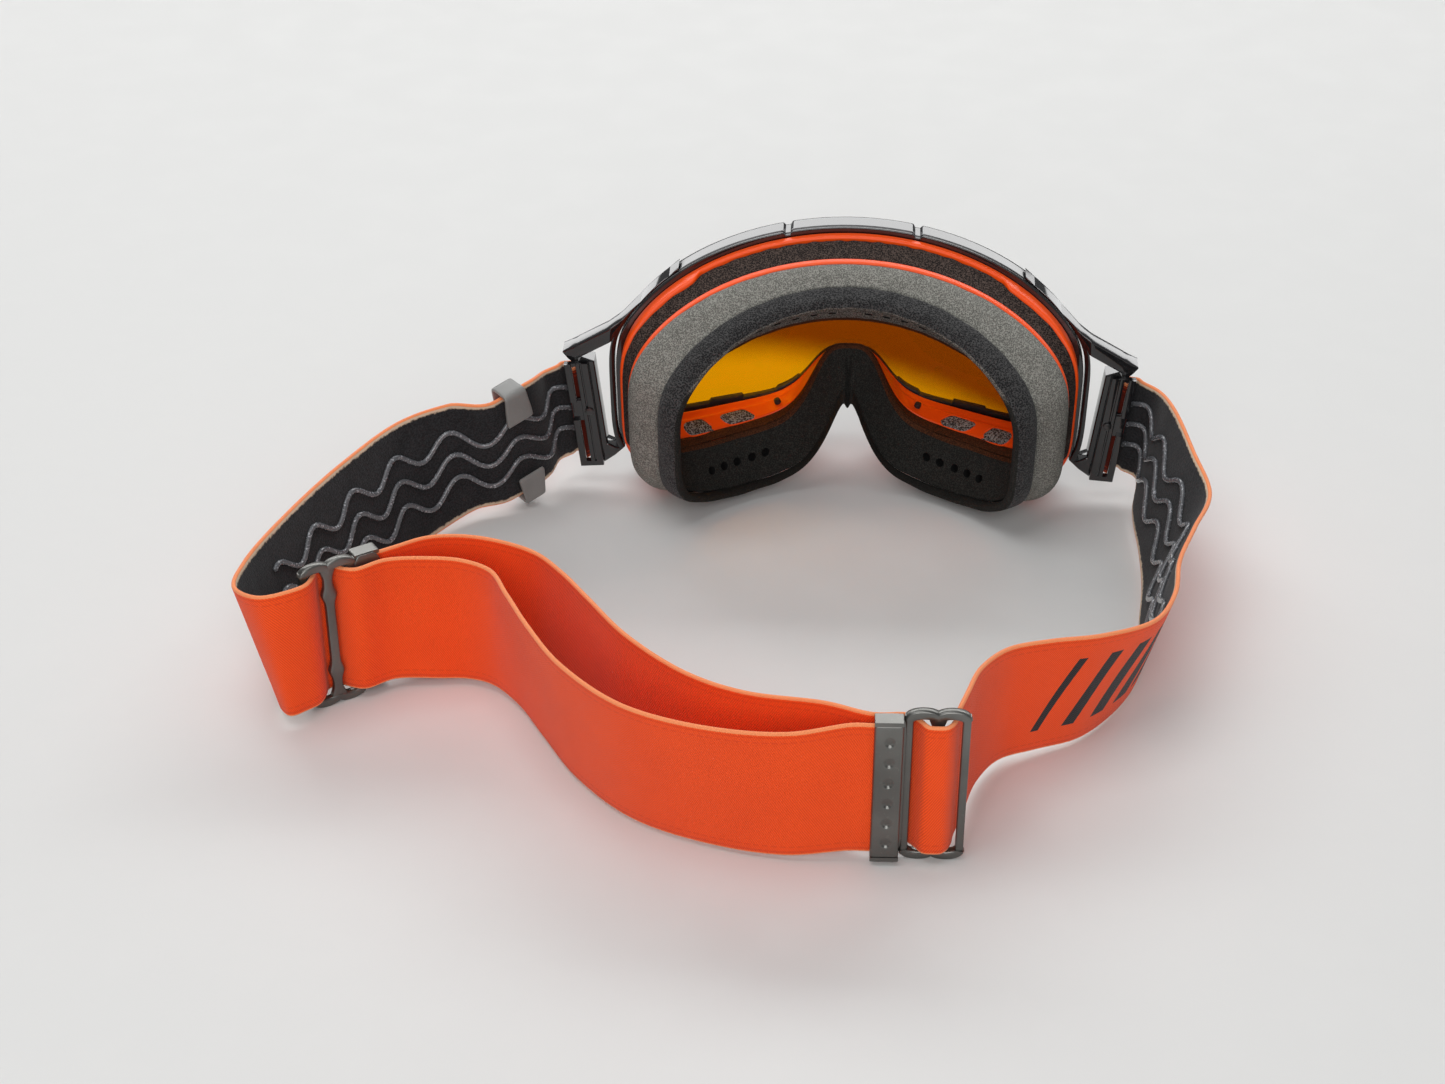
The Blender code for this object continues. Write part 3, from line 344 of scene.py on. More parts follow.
@dataclass(frozen=True)
class Foam(Finish):
    """Open or flocked foam, speckled with dark pits, in another tone over the brow where one is given."""

    pit: Colour = (0.01, 0.01, 0.01)
    cells: float = 900.0
    depth: float = 0.0004
    sheen: float = 0.0
    brow: Colour | None = None

    def dress(self, graph: Graph, shader: bpy.types.Node) -> None:
        """See Finish.dress."""
        cells = graph.node("ShaderNodeGroup", node_tree=foam_cells())
        graph.feed(cells.inputs["Place"], graph.place())
        cells.inputs["Cells"].default_value = self.cells
        tone = graph.mix(cells.outputs["Strand"], self.pit, self.colour)
        if self.brow is not None:
            height = graph.node("ShaderNodeSeparateXYZ", {0: graph.place()}).outputs[2]
            # The brow tone; on the foam wall it replaces the near-black painted shade over the brow.
            worn_and_brow_tone = graph.mix(cells.outputs["Strand"], self.colour, self.brow)
            tone = graph.mix(graph.step(height, 0.056, 0.060), tone, worn_and_brow_tone)
        graph.feed(shader.inputs["Base Color"], tone)
        rough = graph.math("MULTIPLY_ADD", cells.outputs["Strand"], -0.06, self.roughness)
        graph.feed(shader.inputs["Roughness"], rough)
        shader.inputs["Sheen Weight"].default_value = self.sheen
        shader.inputs["Sheen Roughness"].default_value = 0.6
        shader.inputs["Specular IOR Level"].default_value = 0.2
        self.bump(graph, shader, cells.outputs["Height"], self.depth, 0.8)


@dataclass(frozen=True)
class Webbing(Finish):
    """Ribbed strap webbing with a pale selvedge, a stitched line, painted shade at its sewn end and, on request,
    slanted bars.
    """

    dark: Colour = (0.5, 0.05, 0.01)
    edge: Colour = (1.0, 0.19, 0.045)
    width: float = 0.045
    edge_width: float = 0.0008
    pitch: float = 0.0007
    bars_at: float | None = None
    bar_colour: Colour = (0.020, 0.019, 0.020)

    def dress(self, graph: Graph, shader: bpy.types.Node) -> None:
        """See Finish.dress."""
        along, across = graph.strip()
        ribs = graph.node("ShaderNodeGroup", {0: along, 1: across}, node_tree=woven_ribs())
        ribs.inputs["Pitch"].default_value = self.pitch
        place = graph.place()
        cloud = graph.noise(place, 60.0, 4.0)
        shade = graph.math("MULTIPLY_ADD", cloud, 0.5, graph.math("MULTIPLY", ribs.outputs["Shade"], 0.75))
        colour = graph.mix(graph.step(shade, 0.1, 1.0), self.dark, self.colour)
        if self.bars_at is not None:
            colour = graph.mix(self.bars(graph, along, across), colour, self.bar_colour)
        # Painted shade: the webbing darkens towards its sewn end, deep in the anchor's slot.
        shaded = tuple(part * 0.22 for part in self.dark)
        colour = graph.mix(graph.step(along, 0.0130, 0.0080), colour, shaded)
        far = graph.math("SUBTRACT", self.width, across)
        inset = graph.math("MINIMUM", across, far)
        ragged = graph.math("MULTIPLY_ADD", graph.noise(place, 1500.0, 2.0), 0.0007, inset)
        stitch_gap = graph.step(graph.math("SINE", graph.math("MULTIPLY", along, 2 * math.pi / 0.0026)),
                                -0.75, -0.45)
        stitch = graph.math("COMPARE", inset, 0.0034, 0.00028)
        colour = graph.mix(graph.math("MULTIPLY", graph.math("MULTIPLY", stitch, stitch_gap), 0.55),
                           colour, self.dark)
        line = graph.math("COMPARE", ragged, self.edge_width + 0.0011, 0.0003)
        colour = graph.mix(graph.math("MULTIPLY", line, 0.6), colour, self.dark)
        selvedge = graph.step(ragged, self.edge_width + 0.0006, self.edge_width + 0.0001)
        colour = graph.mix(selvedge, colour, self.edge)
        graph.feed(shader.inputs["Base Color"], colour)
        graph.feed(shader.inputs["Roughness"],
                   graph.math("MULTIPLY_ADD", ribs.outputs["Shade"], -0.12, self.roughness))
        shader.inputs["Sheen Weight"].default_value = 0.12
        shader.inputs["Sheen Roughness"].default_value = 0.5
        shader.inputs["Specular IOR Level"].default_value = 0.25
        fuzz = graph.math("MULTIPLY_ADD", graph.noise(place, 2600.0, 2.0), 0.5, ribs.outputs["Height"])
        self.bump(graph, shader, fuzz, 0.00012, 0.75)

    def bars(self, graph: Graph, along: object, across: object) -> bpy.types.NodeSocket:
        """Five slanted bars in a row along the strap, each narrower than the last.

        Args:
            graph: the material's graph.
            along: metres along the strap.
            across: metres across the strap.

        Returns:
            The bars' mask.
        """
        pitch, count = 0.0125, 5
        leaned = graph.math("MULTIPLY_ADD", across, 0.45, along)
        turns = graph.math("DIVIDE", graph.math("SUBTRACT", leaned, self.bars_at), pitch)
        number = graph.math("FLOOR", turns)
        part = graph.math("SUBTRACT", turns, number)
        width = graph.math("MULTIPLY_ADD", number, -0.13, 0.74)
        bar = graph.math("LESS_THAN", part, width)
        inside = graph.math("COMPARE", number, (count - 1) / 2, count / 2 - 0.2)
        middle = graph.math("COMPARE", across, self.width / 2, self.width * 0.31)
        return graph.math("MULTIPLY", graph.math("MULTIPLY", bar, inside), middle)


@dataclass(frozen=True)
class Lining(Finish):
    """The brushed lining inside the strap: napped charcoal with a cream frayed edge."""

    edge: Colour = (0.70, 0.54, 0.39)
    width: float = 0.045
    edge_width: float = 0.0017

    def dress(self, graph: Graph, shader: bpy.types.Node) -> None:
        """See Finish.dress."""
        along, across = graph.strip()
        place = graph.place()
        nap = graph.noise(place, 1700.0, 3.0)
        cloud = graph.noise(place, 120.0, 3.0)
        pale = tuple(part * 3.0 for part in self.colour)
        lit = graph.step(graph.math("MULTIPLY_ADD", cloud, 0.35, nap), 0.42, 0.95)
        colour = graph.mix(lit, self.colour, pale)
        inset = graph.math("MINIMUM", across, graph.math("SUBTRACT", self.width, across))
        ragged = graph.math("MULTIPLY_ADD", graph.noise(place, 700.0, 3.0), 0.0016, inset)
        frayed = graph.step(ragged, self.edge_width + 0.0012, self.edge_width + 0.0004)
        graph.feed(shader.inputs["Base Color"], graph.mix(frayed, colour, self.edge))
        graph.feed(shader.inputs["Roughness"], graph.math("MULTIPLY_ADD", nap, 0.1, self.roughness))
        shader.inputs["Sheen Weight"].default_value = 0.10
        shader.inputs["Sheen Roughness"].default_value = 0.55
        shader.inputs["Specular IOR Level"].default_value = 0.15
        self.bump(graph, shader, nap, 0.0003, 0.8)


@dataclass(frozen=True)
class ClearTint(Finish):
    """The lens: clear sheet with faint wiping marks, its tint deepened up one side by painted shade that stands in
    for a dark surround seen through it.
    """

    # deep: the darker tint of the painted shade, towards the top and one side of the lens
    deep: Colour = (0.5, 0.2, 0.01)
    low: float = 0.036
    high: float = 0.054
    slant: float = 0.24

    def dress(self, graph: Graph, shader: bpy.types.Node) -> None:
        """See Finish.dress."""
        place = graph.place()
        wiped = graph.noise(place, 55.0, 5.0)
        split = graph.node("ShaderNodeSeparateXYZ", {0: place}).outputs
        # Painted shade: the tint deepens with height and towards +X.
        rise = graph.math("MULTIPLY_ADD", split[0], self.slant, split[2])
        shade = graph.step(graph.math("MULTIPLY_ADD", wiped, 0.004, rise), self.low, self.high)
        graph.feed(shader.inputs["Base Color"], graph.mix(shade, self.colour, self.deep))
        graph.feed(shader.inputs["Roughness"],
                   graph.math("MULTIPLY_ADD", graph.step(wiped, 0.5, 0.8), 0.04, self.roughness))
        shader.inputs["Transmission Weight"].default_value = 0.95
        shader.inputs["IOR"].default_value = 1.25


@dataclass(frozen=True)
class Silicone(Finish):
    """Glossy grip silicone with bright flecks."""

    def dress(self, graph: Graph, shader: bpy.types.Node) -> None:
        """See Finish.dress."""
        place = graph.place()
        flecks = graph.step(graph.noise(place, 1300.0, 2.0), 0.56, 0.70)
        bright = tuple(min(1.0, part * 3.2) for part in self.colour)
        graph.feed(shader.inputs["Base Color"], graph.mix(flecks, self.colour, bright))
        graph.feed(shader.inputs["Roughness"], graph.math("MULTIPLY_ADD", flecks, 0.2, self.roughness))
        shader.inputs["Coat Weight"].default_value = 0.4
        self.bump(graph, shader, graph.noise(place, 900.0, 2.0), 0.0002, 0.5)


GLOSS_BLACK = Moulded("gloss_black", (0.008, 0.008, 0.009), 0.07, grain=700.0, depth=0.000002, dulled=0.03,
                      specular=1.0)
ORANGE_SHELL = Moulded("orange_shell", (0.95, 0.085, 0.003), 0.34, grain=1600.0, dulled=0.12, pale=0.05,
                       specular=0.35)
# The lens's deep tint is painted shade towards its top and one side.
AMBER = ClearTint("amber_lens", (1.0, 0.42, 0.001), 0.03, deep=(0.30, 0.058, 0.0006))
SOFT_BLACK = Moulded("soft_black", (0.012, 0.012, 0.012), 0.55)
VENT_FOAM = Foam("vent_foam", (0.085, 0.060, 0.050), 0.96, pit=(0.004, 0.003, 0.003), cells=1900.0)
GREY_FOAM = Foam("grey_foam", (0.310, 0.305, 0.275), 0.96, pit=(0.110, 0.108, 0.097), cells=2100.0, depth=0.0002)
FLEECE = Foam("charcoal_fleece", (0.066, 0.065, 0.065), 0.98, pit=(0.006, 0.006, 0.007), cells=1900.0,
              depth=0.0004, sheen=0.08)
# Painted shade: the inner walls of both foam layers are near black for the shade inside the eye port, turning a
# paler grey over the brow.
SHADED_FOAM_WALL = Foam("shaded_foam_wall", (0.030, 0.029, 0.026), 0.97, pit=(0.010, 0.010, 0.009), cells=2300.0, depth=0.0001,
                 brow=(0.21, 0.195, 0.175))
# Painted shade: the air holes' walls are near black for the shade inside them.
SHADED_HOLE_WALL = Foam("air_hole", (0.005, 0.005, 0.005), 0.98, pit=(0.003, 0.003, 0.003), cells=2300.0, depth=0.0001)
BROWN_LINING = Foam("brown_lining", (0.080, 0.025, 0.007), 0.85, pit=(0.030, 0.009, 0.003), cells=2000.0,
                    depth=0.0001)
PAD_FOAM = Foam("pad_foam", (0.33, 0.31, 0.29), 0.96, pit=(0.02, 0.018, 0.016), cells=1500.0)
STEEL = Moulded("steel_pin", (0.10, 0.10, 0.10), 0.30, metallic=1.0)
GUNMETAL = Moulded("gunmetal", (0.135, 0.134, 0.126), 0.28, grain=2400.0, dulled=0.12, metallic=0.85, pale=0.4)
CLIP_GREY = Moulded("grey_clip", (0.210, 0.210, 0.203), 0.34, grain=2200.0, pale=0.3)
PLAIN_WEB = Webbing("orange_web", (1.0, 0.090, 0.006), 0.86, dark=(0.74, 0.052, 0.004))
EDGE_WEB = Webbing("web_edge", (0.95, 0.30, 0.12), 0.9, dark=(0.78, 0.15, 0.05), edge=(0.95, 0.30, 0.12))
STRAP_LINING = Lining("strap_lining", (0.011, 0.011, 0.012), 0.92)
SILICONE = Silicone("grip_silicone", (0.120, 0.125, 0.135), 0.18)


@dataclass
class Skin:
    """Grids of points gathered into one mesh."""

    points: list[Points] = field(default_factory=list)
    faces: list[NDArray[np.int64]] = field(default_factory=list)
    places: list[Points] = field(default_factory=list)
    slots: list[NDArray[np.int64]] = field(default_factory=list)

    def grid(self, points: Points, wrap_rows: bool = False, wrap_cols: bool = False,
             places: Points | None = None, slots: NDArray[np.int64] | int = 0) -> "Skin":
        """Add a grid: quads between neighbouring rows and columns, closed where wrapped.

        Args:
            points: rows by columns by 3.
            wrap_rows: the last row meets the first.
            wrap_cols: the last column meets the first.
            places: UV of every row and column, with the wrapped ones repeated; from the
                lengths along the grid when left out.
            slots: material slot of every column of faces, or of all of them.

        Returns:
            The skin itself.
        """
        rows, cols = points.shape[:2]
        more_rows, more_cols = rows + wrap_rows, cols + wrap_cols
        if places is None:
            along = np.linalg.norm(np.diff(points[:, 0], axis=0, append=points[:1, 0]), axis=1)
            across = np.linalg.norm(np.diff(points[0], axis=0, append=points[0, :1]), axis=1)
            u = np.concatenate(([0.0], np.cumsum(along)))[:more_rows]
            v = np.concatenate(([0.0], np.cumsum(across)))[:more_cols]
            places = np.stack(np.meshgrid(u, v, indexing="ij"), axis=2)
        i, j = np.mgrid[0:more_rows - 1, 0:more_cols - 1].reshape(2, -1)
        corner_i = np.stack((i, i, i + 1, i + 1), axis=1)
        corner_j = np.stack((j, j + 1, j + 1, j), axis=1)
        start = sum(len(part) for part in self.points)
        self.faces.append(start + (corner_i % rows) * cols + corner_j % cols)
        self.places.append(places[corner_i, corner_j].reshape(-1, 2))
        self.slots.append(np.full(len(i), slots) if isinstance(slots, int) else slots[j])
        self.points.append(points.reshape(-1, 3))
        return self

    def tube(self, grid: Points, slots: NDArray[np.int64] | int = 0) -> "Skin":
        """Add a closed tube: a grid wrapped across its columns, with both ends capped.

        Args:
            grid: stations by profile points by 3.
            slots: material slot of the faces.

        Returns:
            The skin itself.
        """
        self.grid(grid, wrap_cols=True, slots=slots)
        for end in (grid[0], grid[-1]):
            middle = np.broadcast_to(end.mean(axis=0), end.shape)
            self.grid(np.stack((end, middle)), wrap_cols=True)
        return self

    def piece(self, name: str, finishes: tuple[Finish, ...], sharp: float = 40.0) -> bpy.types.Object:
        """Make the object: doubles merged, faces outward, smooth but for sharp edges.

        Args:
            name: the piece's name.
            finishes: one finish for each material slot.
            sharp: edges bent more than this many degrees stay crisp.

        Returns:
            The new object, at the origin.
        """
        mesh = bpy.data.meshes.new(name)
        faces = np.concatenate(self.faces)
        mesh.from_pydata(np.concatenate(self.points).tolist(), [], faces.tolist())
        mesh.uv_layers.new(name="UVMap").data.foreach_set("uv", np.concatenate(self.places).ravel())
        mesh.polygons.foreach_set("material_index", np.concatenate(self.slots).astype(np.int32))
        for finish in finishes:
            mesh.materials.append(finish.material())
        shape = bmesh.new()
        shape.from_mesh(mesh)
        bmesh.ops.remove_doubles(shape, verts=shape.verts, dist=1e-6)
        bmesh.ops.dissolve_degenerate(shape, edges=shape.edges, dist=1e-7)
        bmesh.ops.recalc_face_normals(shape, faces=shape.faces)
        shape.to_mesh(mesh)
        shape.free()
        mesh.shade_smooth()
        mesh.set_sharp_from_angle(angle=math.radians(sharp))
        made = bpy.data.objects.new(name, mesh)
        bpy.context.scene.collection.objects.link(made)
        return made


def settle(piece: bpy.types.Object, body: str, nodes: tuple[str, ...]) -> bpy.types.Object:
    """Give a finished piece its body and hide the nodes that it stands for.

    Args:
        piece: the piece.
        body: the body that it rides on.
        nodes: the CAD nodes that it stands for.

    Returns:
        The piece.
    """
    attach(piece, body)
    if nodes:
        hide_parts(*nodes)
    LOG.info("%s on %s, %d faces", piece.name, body, len(piece.data.polygons))
    return piece


def unit(vectors: Points) -> Points:
    """The vectors at length 1."""
    return vectors / np.maximum(np.linalg.norm(vectors, axis=-1, keepdims=True), 1e-12)


def smoothstep(value: Points, low: float, high: float) -> Points:
    """A smooth step from 0 at low to 1 at high: 3t^2 - 2t^3."""
    share = np.clip((np.asarray(value) - low) / (high - low), 0.0, 1.0)
    return share * share * (3.0 - 2.0 * share)


def round_profile(count: int = 16, power: float = 2.0) -> Points:
    """A superellipse |a|^p + |b|^p = 1 as (a, b) points; 2 is a circle, more is a rounded bar."""
    turn = np.linspace(0.0, 2 * math.pi, count, endpoint=False)
    a, b = np.cos(turn), np.sin(turn)
    return np.stack((np.sign(a) * np.abs(a) ** (2.0 / power), np.sign(b) * np.abs(b) ** (2.0 / power)), axis=1)


def sweep(path: Points, side: Points, half_side: Points | float, half_out: Points | float,
          profile: Points) -> Points:
    """Carry a profile along a path: point + side * a * half_side + out * b * half_out.

    Args:
        path: stations by 3.
        side: the profile's first axis, for every station or all of them.
        half_side: half the profile's size along side.
        half_out: half its size along out, which is square to the path and the side.
        profile: (a, b) points.

    Returns:
        A grid of stations by profile points by 3.
    """
    side = unit(np.broadcast_to(np.asarray(side, dtype=float), path.shape))
    out = unit(np.cross(side, np.gradient(path, axis=0)))
    wide = np.broadcast_to(half_side, len(path))[:, None, None]
    deep = np.broadcast_to(half_out, len(path))[:, None, None]
    return (path[:, None] + side[:, None] * profile[None, :, :1] * wide
            + out[:, None] * profile[None, :, 1:] * deep)


def lozenge(place: Points, first: Points, second: Points, rows: Points, power: float = 2.0,
            count: int = 32) -> Points:
    """A button: superellipse loops drawn in and raised row by row along first x second.

    Args:
        place: the button's foot.
        first: its half length as a vector.
        second: its half width as a vector.
        rows: (scale, height) of every loop, from the foot to the crown.
        power: the superellipse's power.
        count: points on a loop.

    Returns:
        A grid of rows by points by 3.
    """
    loop = round_profile(count, power)
    flat = loop[:, :1] * first + loop[:, 1:] * second
    up = unit(np.cross(first, second))
    return place + flat[None] * rows[:, :1, None] + up * rows[:, 1:, None]


def soften(rows: Points, radius: float, steps: int, closed: bool = True) -> Points:
    """Round the corners of a polygon by short quadratic curves.

    Args:
        rows: corners by values.
        radius: how far from each corner its curve begins.
        steps: points on each curve.
        closed: the last corner meets the first.

    Returns:
        The rounded polygon's rows.
    """
    before, after = np.roll(rows, 1, axis=0), np.roll(rows, -1, axis=0)
    reach = [np.max(np.abs(other[:, :5] - rows[:, :5]), axis=1, keepdims=True) for other in (before, after)]
    cut = [np.minimum(0.45, radius / np.maximum(size, 1e-9)) for size in reach]
    start = rows + (before - rows) * cut[0]
    end = rows + (after - rows) * cut[1]
    t = np.linspace(0.0, 1.0, steps)[None, :, None]
    curve = (1 - t) ** 2 * start[:, None] + 2 * t * (1 - t) * rows[:, None] + t ** 2 * end[:, None]
    flat = curve.reshape(-1, rows.shape[1])
    return flat if closed else np.concatenate((rows[:1], flat[steps:-steps], rows[-1:]))


def densify(rows: Points, spacing: float) -> Points:
    """Add rows along the long straights of a closed profile, evenly by length."""
    shut = np.concatenate((rows, rows[:1]))
    length = np.concatenate(([0.0], np.cumsum(np.max(np.abs(np.diff(shut[:, :5], axis=0)), axis=1))))
    even = np.linspace(0.0, length[-1], int(length[-1] / spacing), endpoint=False)
    stops = np.unique(np.concatenate((length[:-1], even)).round(7))
    return np.stack([np.interp(stops, length, shut[:, k]) for k in range(rows.shape[1])], axis=1)


@dataclass(frozen=True)
class Outline:
    """One closed outline of the mask, seen from the front, about its mid line."""

    half_width: float
    top: float
    bottom: float
    nose_rise: float
    nose_half_width: float = 0.0130
    nose_power: float = 2.0
    cheek_power: float = 3.2

    def inset(self, side: float, top: float | None = None, bottom: float | None = None,
              nose_rise: float | None = None) -> "Outline":
        """The outline drawn in by a margin at the sides, top and bottom.

        Args:
            side: margin at the sides, and elsewhere when not given.
            top: margin at the brow.
            bottom: margin at the cheeks.
            nose_rise: the new height of the nose arch.

        Returns:
            The smaller outline.
        """
        return replace(self, half_width=self.half_width - side, top=self.top - (side if top is None else top),
                       bottom=self.bottom + (side if bottom is None else bottom),
                       nose_rise=self.nose_rise if nose_rise is None else nose_rise)

    def at(self, depth: float, widen: float = 0.0, tilt: float = 0.0) -> list[float]:
        """The outline as a row of numbers at a depth, with how far widen and tilt act on it."""
        return [self.half_width, self.top, self.bottom, self.nose_rise, depth, widen, tilt,
                self.nose_half_width, self.nose_power, self.cheek_power]


@dataclass
class Mask:
    """The sizes that the frame, lens and foam share, and the mask's wrapped surface."""

    place: tuple[float, float, float] = (0.0327, 0.1180, 0.0450)
    lean: float = math.radians(9.0)
    half_width: float = 0.0810
    brow_sag: float = 0.0140
    side_level: float = -0.0040
    brow_power: float = 5.5
    wrap_radius: float = 0.1100
    wrap_share: float = 0.963
    frame_back: float = -0.0053
    channel_start: float = -0.0083
    flange_start: float = -0.0183
    flange_back: float = -0.0213
    half_columns: int = 420

    def __post_init__(self) -> None:
        """Work out the outlines and the columns, evenly spaced round the outer edge."""
        self.outer = Outline(self.half_width, 0.0505, -0.0500, 0.0390)
        eyes = replace(self.outer, nose_half_width=0.0155, nose_power=4.0)
        self.opening = eyes.inset(0.0070, 0.0075, 0.0240, 0.0205)
        self.lip = self.outer.inset(0.0018, bottom=0.0028)
        self.flange = self.outer.inset(0.0055, 0.0035, 0.0045)
        self.tunnel_front = replace(eyes.inset(0.0170, bottom=0.0285, nose_rise=0.0205), cheek_power=2.1)
        self.tunnel = Outline(0.0640, 0.0335, -0.0218, 0.0345, 0.0140, 4.0)
        self.foam_edge = replace(self.flange.inset(0.0110, 0.0022, 0.0056), nose_half_width=0.0085)
        self.crown = self.foam_edge.inset(0.0075, 0.0045, 0.0024, 0.0395)
        self.bore = self.crown.inset(-0.001875, nose_rise=0.0415)
        turn = np.linspace(0.0, math.pi / 2, 3000)
        brow = np.sin(turn) ** (2.0 / self.brow_power)
        cheek = np.sin(turn[::-1]) ** (2.0 / self.outer.cheek_power)
        share = np.concatenate((brow, cheek[1:]))
        upper = np.concatenate((np.ones(len(brow), bool), np.zeros(len(cheek) - 1, bool)))
        row = np.array(self.outer.at(0.0))[None]
        flat = self.flat(row, share, upper)[0]
        length = np.concatenate(([0.0], np.cumsum(np.linalg.norm(np.diff(flat, axis=0), axis=1))))
        even = np.linspace(0.0, length[-1], self.half_columns + 1)
        joint = length[len(brow) - 1]
        half = np.interp(even, length, share)
        high = even <= joint
        self.share = np.concatenate((half, -half[-2:0:-1]))
        self.upper = np.concatenate((high, high[-2:0:-1]))

    def flat(self, rows: Points, share: Points, upper: NDArray[np.bool_]) -> Points:
        """The (x, z) of outlines: a superellipse brow that sags, and a cheek with a nose arch.

        Args:
            rows: outline rows.
            share: share of the half width, for every column.
            upper: whether the column is on the brow.

        Returns:
            Rows by columns by 2.
        """
        width, top, bottom, nose = (rows[:, k:k + 1] for k in range(4))
        reach = np.minimum(np.abs(share), 1.0)[None]
        level = self.side_level
        brow = (top - level - self.brow_sag * reach ** 2) * (1 - reach ** self.brow_power) ** (1 / self.brow_power)
        arch = nose / (1 + (reach * width / rows[:, 7:8]) ** rows[:, 8:9])
        power = rows[:, 9:10]
        cheek = (bottom - level + arch) * (1 - reach ** power) ** (1 / power)
        return np.stack((share[None] * width, level + np.where(upper[None], brow, cheek)), axis=2)

    def wrap(self, share: Points) -> Points:
        """How far the face curves back at a share of its half width: a circle's sagitta."""
        reach = np.clip(np.abs(share), 0.0, 1.0) * self.half_width * self.wrap_share
        return self.wrap_radius - np.sqrt(self.wrap_radius ** 2 - reach ** 2)

    def ring(self, rows: Points) -> Points:
        """Loops of the wrapped outlines: y = depth - wrap, deeper where widened or tilted.

        Args:
            rows: outline rows.

        Returns:
            Rows by columns by 3 in the mask's own frame.
        """
        flat = self.flat(rows, self.share, self.upper)
        x, z = flat[..., 0], flat[..., 1]
        wide = smoothstep(np.abs(x), 0.0515, 0.0545) * rows[:, 5:6] * -0.0030
        low = smoothstep(-z, 0.010, 0.034) * rows[:, 6:7]
        y = rows[:, 4:5] - self.wrap(self.share)[None] + wide + low
        return np.stack((x, y, z), axis=2)

    def floor_row(self, share: float, lift: float = 0.0) -> Points:
        """The tunnel's sloping wall as an outline row.

        Args:
            share: share of the way from the frame's back to the flange's back.
            lift: how far the row is drawn in from the wall.

        Returns:
            The row, mixed between the wall's front and rear outlines.
        """
        front = np.array(self.tunnel_front.inset(lift).at(self.frame_back))
        rear = np.array(self.tunnel.inset(lift).at(self.flange_back))
        return front * (1 - share) + rear * share

    def stand(self, points: Points) -> Points:
        """Points of the mask's own frame, leaned back and put at its place, not below the floor."""
        c, s = math.cos(self.lean), math.sin(self.lean)
        x, y, z = np.moveaxis(points, -1, 0)
        stood = np.stack((x, c * y - s * z, s * y + c * z), axis=-1) + np.array(self.place)
        stood[..., 2] = np.maximum(stood[..., 2], 0.0)
        return stood

    def turn(self, vectors: Points) -> Points:
        """Directions of the mask's own frame, leaned back."""
        c, s = math.cos(self.lean), math.sin(self.lean)
        x, y, z = np.moveaxis(np.asarray(vectors, dtype=float), -1, 0)
        return np.stack((x, c * y - s * z, s * y + c * z), axis=-1)


